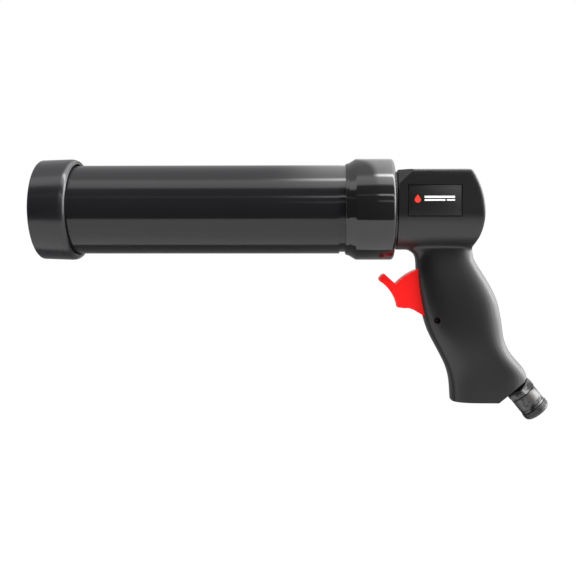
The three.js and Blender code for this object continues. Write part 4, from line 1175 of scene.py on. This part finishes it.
@dataclass
class Trigger:
    """The red trigger and the pin that it swings on."""

    pivot: Point = (32.4, -69.7)
    radius: float = 33.6
    notch: float = 138.6
    stop_height: float = 2
    stop_length: float = 3
    hub: float = 5.5
    pin_hole: float = 2.0
    edge: float = 0.75

    def outline(self) -> list[Point]:
        """Side view: finger tab, hollow front, lower lip, hub and the arc that closes the slot."""
        x, z = self.pivot

        def at(across: float, up: float) -> Point:
            """A point counted from the pin."""
            return x + across, z + up

        start = 90 + math.degrees(self.stop_length / self.radius)
        top = self.radius + self.stop_height
        tip = [at(-32.3, 28.7), at(-34.1, 28.2), at(-35.6, 25.8)]
        nose = [tip[-1], at(-35.9, 24.6), at(-34.8, 23.7)]
        front = [nose[-1], at(-29.6, 20.6), at(-24.9, 14), at(-24.1, 7.6)]
        lip = [at(-19, 7), at(-17.8, 7.6), at(-14.1, 6.1)]
        return [
            at(0, top), at(-self.stop_length, top), *arc(self.pivot, self.radius, start, self.notch, 40),
            tip[0], *sweep(tip, 8), *sweep(nose, 6), *sweep(front, 24), lip[0], *sweep(lip, 8),
            at(-7.2, 2), at(0, 0),
        ]

    def build(self) -> None:
        """Moulds the trigger and turns its pin."""
        low, high = span("trigger")
        made = Workpiece.plate("trigger_moulding", self.outline(), low.y, high.y)
        made.join(Handle.across("hub", self.pivot, self.hub, (low.y, high.y), SMALL_ROUND))
        made.rounded(self.edge, 40, 4)
        made.cut(Handle.across("hole", self.pivot, self.pin_hole, (-20, 20)))
        made.smooth(40).finished(TRIGGER_RED, "trigger", "trigger_red", "trigger")
        low, high = span("trigger_pin")
        ends, radius = (low.y, high.y), (high.z - low.z) / 2
        profile = [
            (ends[0], 0.5), (ends[0] + 0.25, radius - 0.5), (ends[0] + 0.7, radius),
            (ends[1] - 0.7, radius), (ends[1] - 0.25, radius - 0.5), (ends[1], 0.5),
        ]
        pin = Workpiece.turned("trigger_pivot_pin", profile, 48)
        at = Matrix.Translation((self.pivot[0] * MM, 0, self.pivot[1] * MM))
        pin.moved(at @ Matrix.Rotation(math.pi / 2, 4, "Z")).smooth()
        pin.finished(SCREW_BLACK, "handle", "screw_steel", "trigger_pin")


# ---------------------------------------------------------------- air fittings


@dataclass
class AirInlet:
    """Neck, hexagon and swivelling sleeve on the slanted face."""

    across_flats: float = 17
    hexagon: Point = (2.5, 7.6)
    bore: float = 3.2
    sleeve: Point = (7.9, 23)
    sleeve_radius: float = 8.5
    port: float = 5.8
    ring: Point = (18.9, 23.6)
    ring_radius: float = 8.9
    ring_bore: float = 7.5
    ribs: int = 48

    def bushing(self) -> Workpiece:
        """The neck that the slanted wall holds in its groove."""
        profile = [
            (-15, 5.7), (-15, 6.6), (-14.7, 6.9), (-3.1, 6.9), (-3.1, 5.6), (0.3, 5.6), (0.3, 6.8),
            (0.5, 7), (2, 7), (2.2, 6.8), (2.2, 4.6), (-9.5, 4.6), (-9.5, 2.4), (-10.5, 2.4),
            (-10.5, 4.3), (-13.6, 4.3), (-13.6, 5.7), (-15, 5.7),
        ]
        return Workpiece.turned("inlet_neck", profile, SMALL_ROUND).moved(INLET_AXIS).smooth()

    def hexagon_nut(self) -> Workpiece:
        """Cuts the six flats, turns their corners off and adds the spigot that the sleeve runs on."""
        start, end = self.hexagon
        flat = self.across_flats / 2
        corner = flat / math.cos(math.pi / 6)
        made = Workpiece.rod("inlet_hexagon", (start, end), corner, 6)
        made.rounded(0.25, 40, 2)
        profile = [
            (start - 0.1, flat - 0.55), (start + 1.4, corner + 0.05), (end - 0.75, corner + 0.05),
            (end + 0.1, flat + 0.35),
        ]
        made.keep(Workpiece.turned("chamfer", profile, ROUND))
        made.join(Workpiece.rod("spigot", (end - 1, end + 2.8), 5, SMALL_ROUND))
        made.cut(Workpiece.rod("bore", (start - 2, end + 5), self.bore, SMALL_ROUND))
        return made.moved(INLET_AXIS).smooth(24)

    def swivel(self) -> Workpiece:
        """The sleeve, with its port and its narrow tail under the ring."""
        start, end = self.sleeve
        waist, tail, radius = self.ring[0] - GAP, self.ring_bore - GAP, self.sleeve_radius
        groove = waist - 2.2
        profile = [
            (start, 5.3), (start, radius - 0.5), (start + 0.5, radius), (groove, radius),
            (groove + 0.2, radius - 0.35), (groove + 0.7, radius - 0.35), (groove + 0.9, radius),
            (waist - 0.3, radius), (waist, radius - 0.3), (waist, tail), (end - 0.3, tail),
            (end, tail - 0.3), (end, self.port + 0.6), (end - 0.6, self.port), (end - 11.5, self.port),
            (end - 11.5, self.bore), (10.7, self.bore), (10.7, 5.3), (start, 5.3),
        ]
        return Workpiece.turned("swivel_sleeve_turned", profile, SMALL_ROUND).moved(INLET_AXIS).smooth()

    def knurled_ring(self) -> Workpiece:
        """The ring round the sleeve's end, with ribs drawn out of its outer wall."""
        start, end = self.ring
        outer = self.ring_radius - 0.3
        profile = [
            (start, self.ring_bore), (start, outer - 0.3), (start + 0.3, outer), (end - 1.9, outer),
            *arc((end - 1.5, outer - 1.5), 1.5, 90, 0, 6), (end, 6.4), (end - 0.3, 6.1),
            (end - 0.4, 6.1), (end - 0.4, self.ring_bore), (start, self.ring_bore),
        ]
        made = Workpiece.turned("knurled_grip_ring", profile, 2 * self.ribs)
        middle = (start + 0.3 + end - 1.9) / 2

        def rib(at: Vector, normal: Vector) -> bool:
            """Every other face of the outer wall."""
            turn = math.atan2(at.z, at.y) / math.pi * self.ribs
            outward = Vector((0, at.y, at.z)).dot(normal) > 5
            return abs(at.x - middle) < 0.5 and outward and int(turn // 1) % 2 == 0

        with made.editing(Parts.FACES, rib):
            bpy.ops.mesh.inset(thickness=0.06 * MM, use_individual=True)
            bpy.ops.mesh.extrude_region_shrink_fatten(TRANSFORM_OT_shrink_fatten={"value": 0.28 * MM})
        return made.moved(INLET_AXIS).smooth(30)

    def build(self) -> None:
        """Makes and dresses the four pieces."""
        self.bushing().finished(SCREW_BLACK, "handle", "screw_steel", "inlet_bushing")
        self.hexagon_nut().finished(FITTING_GREY, "handle", "fitting_grey", "inlet_hex")
        self.swivel().finished(FITTING_GREY, "swivel", "fitting_grey", "swivel_sleeve")
        self.knurled_ring().finished(RING_BLACK, "swivel", "ring_black", "grip_ring")


@dataclass
class Silencer:
    """The porous plug that the spent air leaves through."""

    place: float = 60
    radius: float = 6.5
    flange: float = 8.4
    slots: int = 3

    def build(self) -> None:
        """Turns the plug, rounds its rim and saws its slots."""
        low, high = span("exhaust_silencer")
        bottom, shoulder = low.z, low.z + 2.5
        profile = [
            (bottom, self.radius - 0.8), (bottom + 0.25, self.radius - 0.25), (bottom + 0.6, self.radius),
            (shoulder, self.radius), (shoulder, self.flange), (shoulder + 1.6, self.flange),
            (shoulder + 1.6, self.radius - 0.6), (high.z, self.radius - 0.6),
        ]
        made = Workpiece.turned("silencer_plug", profile, SMALL_ROUND)
        upright = Matrix.Translation((self.place * MM, 0, 0)) @ Matrix.Rotation(-math.pi / 2, 4, "Y")
        made.moved(upright)
        pitch = 2 * self.radius / (self.slots + 1)
        for number in range(self.slots):
            x = self.place - self.radius + pitch * (number + 1)
            made.cut(
                Workpiece.block("saw", (x - 0.6, -20, bottom - 1), (x + 0.6, 20, bottom + 2.2))
            )
        made.smooth().finished(BRONZE, "handle", "sintered_bronze", "exhaust_silencer")


@dataclass
class Inside:
    """The CAD nodes that keep their own shape: the air block, the valve, the tubes and the seals."""

    finishes: tuple[tuple[Finish, tuple[str, ...]], ...] = (
        (CAST_ALLOY, ("head_core",)),
        (SLIP_WHITE, ("slip_washer", "delivery_tube", "supply_tube")),
        (BRASS, ("valve_body", "valve_plug")),
        (STEEL, ("valve_stem", "valve_spring")),
        (BRONZE, ("inlet_filter",)),
        (
            SEAL_BLACK,
            (
                "cartridge_seal", "delivery_o_ring_1", "delivery_o_ring_2", "supply_o_ring_1",
                "supply_o_ring_2", "stem_o_ring_1", "stem_o_ring_2",
            ),
        ),
    )

    def build(self, nodes: dict[str, bpy.types.Object]) -> None:
        """Dresses each node.

        Args:
            nodes: the frame's CAD nodes by name.
        """
        for finish, names in self.finishes:
            for name in names:
                mesh = nodes[name].data
                mesh.materials.clear()
                mesh.materials.append(finish.material())
                log.info("%s: kept, dressed in %s", name, finish.name)


# ---------------------------------------------------------------- studio


@dataclass
class Studio:
    """Pale floor, soft light and the camera."""

    floor_z: float = -0.24
    floor_front: float = -0.5
    floor_rear: float = 0.045
    tint: tuple[float, ...] = (1, 1, 1, 1)
    panel: float = 5.0
    room: tuple[Point, ...] = (
        (-179, 0.3), (-155, 0.25), (-100, 0.12), (-92, 0.9), (-40, 0.9), (-25, 0.02), (14, 0.012),
        (28.5, 0.02), (29.7, 0.5), (31, 0.5), (32.5, 0.02), (52, 0.05), (57, 1.9), (74, 2.3), (84, 1.0),
        (110, 0.7), (140, 0.6), (165, 0.5), (179, 0.35),
    )
    lamps: tuple[Point, ...] = (
        (-179, 0.1), (14, 0.0), (15.2, 1.6), (16.8, 1.6), (18, 0.0), (28.4, 0.0), (29.4, 6.0),
        (31.2, 6.0), (32.4, 0.0), (53, 0.05), (58, 1.7), (75, 2.4), (78.5, 17), (82, 17), (86, 3.4),
        (112, 2.6), (140, 1.0), (179, 0.3),
    )
    distance: float = 0.512
    lens: float = 50
    foot: Point = (-0.0329, -0.0213)
    shift: float = -0.05
    aim: Point = (-0.0613, -0.0502)
    roll: float = -0.02

    def build(self) -> None:
        """Sets the stage."""
        scene = bpy.context.scene
        scene.view_settings.view_transform = "Standard"
        self.floor()
        self.surroundings()
        self.camera()

    def floor(self) -> None:
        """A wide pale floor that ends in front of the tool."""
        Workpiece.clear()
        middle = (self.floor_front + self.floor_rear) / 2
        depth = self.floor_rear - self.floor_front
        bpy.ops.mesh.primitive_plane_add(size=1, location=(0, middle, self.floor_z))
        made = Workpiece("studio_floor")
        made.item.scale = (6, depth, 1)
        made.apply()
        material = bpy.data.materials.new("floor_white")
        material.use_nodes = True
        recipe = Recipe(material.node_tree)
        clouds = recipe.noise(recipe.place(), 3, 3)
        recipe.surface(
            {
                "Base Color": recipe.blend(clouds, (0.3, 0.3, 0.3), (0.32, 0.32, 0.32)),
                "Roughness": 0.9,
                "Specular IOR Level": 0.1,
                "Emission Color": (1, 1, 1, 1),
                "Emission Strength": 0.62,
            }
        )
        made.item.data.materials.append(material)

    def surroundings(self) -> None:
        """Light that depends on how high it stands: dark in front, soft boxes above, grey behind."""
        world = bpy.data.worlds.new("studio")
        bpy.context.scene.world = world
        world.use_nodes = True
        recipe = Recipe(world.node_tree)
        towards = recipe.node("TexCoord").outputs["Generated"]
        parts = recipe.node("SeparateXYZ", None, {0: towards}).outputs
        front = 0 - Signal(recipe, parts[1])
        height = recipe.node("Math", {"operation": "ARCTAN2"}, {0: Signal(recipe, parts[2]), 1: front})
        share = Signal(recipe, height.outputs[0]) / (2 * math.pi) + 0.5
        aside = Signal(recipe, parts[0])
        lamp = recipe.step(aside, -0.075, 0.01) * 0.8 + recipe.step(aside, 0.02, 0.3) * 0.6
        panel = recipe.step(aside, 0.55, 0.9) * recipe.step(Signal(recipe, parts[2]), -0.35, 0.0)
        soft = self.bands(recipe, share, self.room)
        keen = self.bands(recipe, share, self.lamps)
        light = soft * 20 + keen * lamp * 20 + panel * self.panel
        lit = recipe.node("Background", None, {"Color": self.tint, "Strength": light})
        plain = recipe.node("Background", None, {"Color": (1, 1, 1, 1), "Strength": 1.0})
        seen = recipe.node("LightPath").outputs["Is Camera Ray"]
        both = recipe.node("MixShader", None, {0: seen, 1: lit.outputs[0], 2: plain.outputs[0]})
        recipe.node("OutputWorld", None, {"Surface": both.outputs[0]})

    @staticmethod
    def bands(recipe: Recipe, share: Signal, levels: Sequence[Point]) -> Signal:
        """Brightness by height above the front horizon.

        Args:
            recipe: the surroundings.
            share: the height as a share of a full turn.
            levels: (angle in degrees, brightness) pairs.

        Returns:
            The brightness, as a share of twenty.
        """
        stops = [(angle / 360 + 0.5, (value / 20,) * 3) for angle, value in levels]
        return Signal(recipe, recipe.node("ValToRGB", {"stops": stops}, {0: share}).outputs[0])

    def camera(self) -> None:
        """A camera level with the barrel's middle, a little above the trigger."""
        data = bpy.data.cameras.new("camera")
        data.lens = self.lens
        data.shift_x = data.shift_y = self.shift
        data.clip_start, data.clip_end = 0.01, 50
        item = bpy.data.objects.new("camera", data)
        bpy.context.scene.collection.objects.link(item)
        seen = self.distance * data.sensor_width / self.lens
        offset = self.shift * seen
        turn = math.atan((self.foot[0] - self.aim[0] + offset) / self.distance)
        dip = math.atan((self.foot[1] - self.aim[1] + offset) / self.distance)
        level = Euler((math.pi / 2 - dip, 0, turn)).to_matrix().to_4x4()
        place = Matrix.Translation((self.foot[0], -self.distance, self.foot[1]))
        item.matrix_world = place @ level @ Matrix.Rotation(math.radians(self.roll), 4, "Z")
        bpy.context.scene.camera = item


def main() -> None:
    """Builds the tool round its frame, one sub-assembly after another."""
    logging.basicConfig(level=logging.INFO, format="%(name)s: %(message)s")
    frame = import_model()
    Inside().build(frame["nodes"])
    assemblies = (
        Barrel(), FrontCap(), RearCollar(), Handle(), Screws(), Labels(), Trigger(), AirInlet(), Silencer(),
    )
    for assembly in assemblies:
        assembly.build()
    Studio().build()


if __name__ == "__main__":
    main()
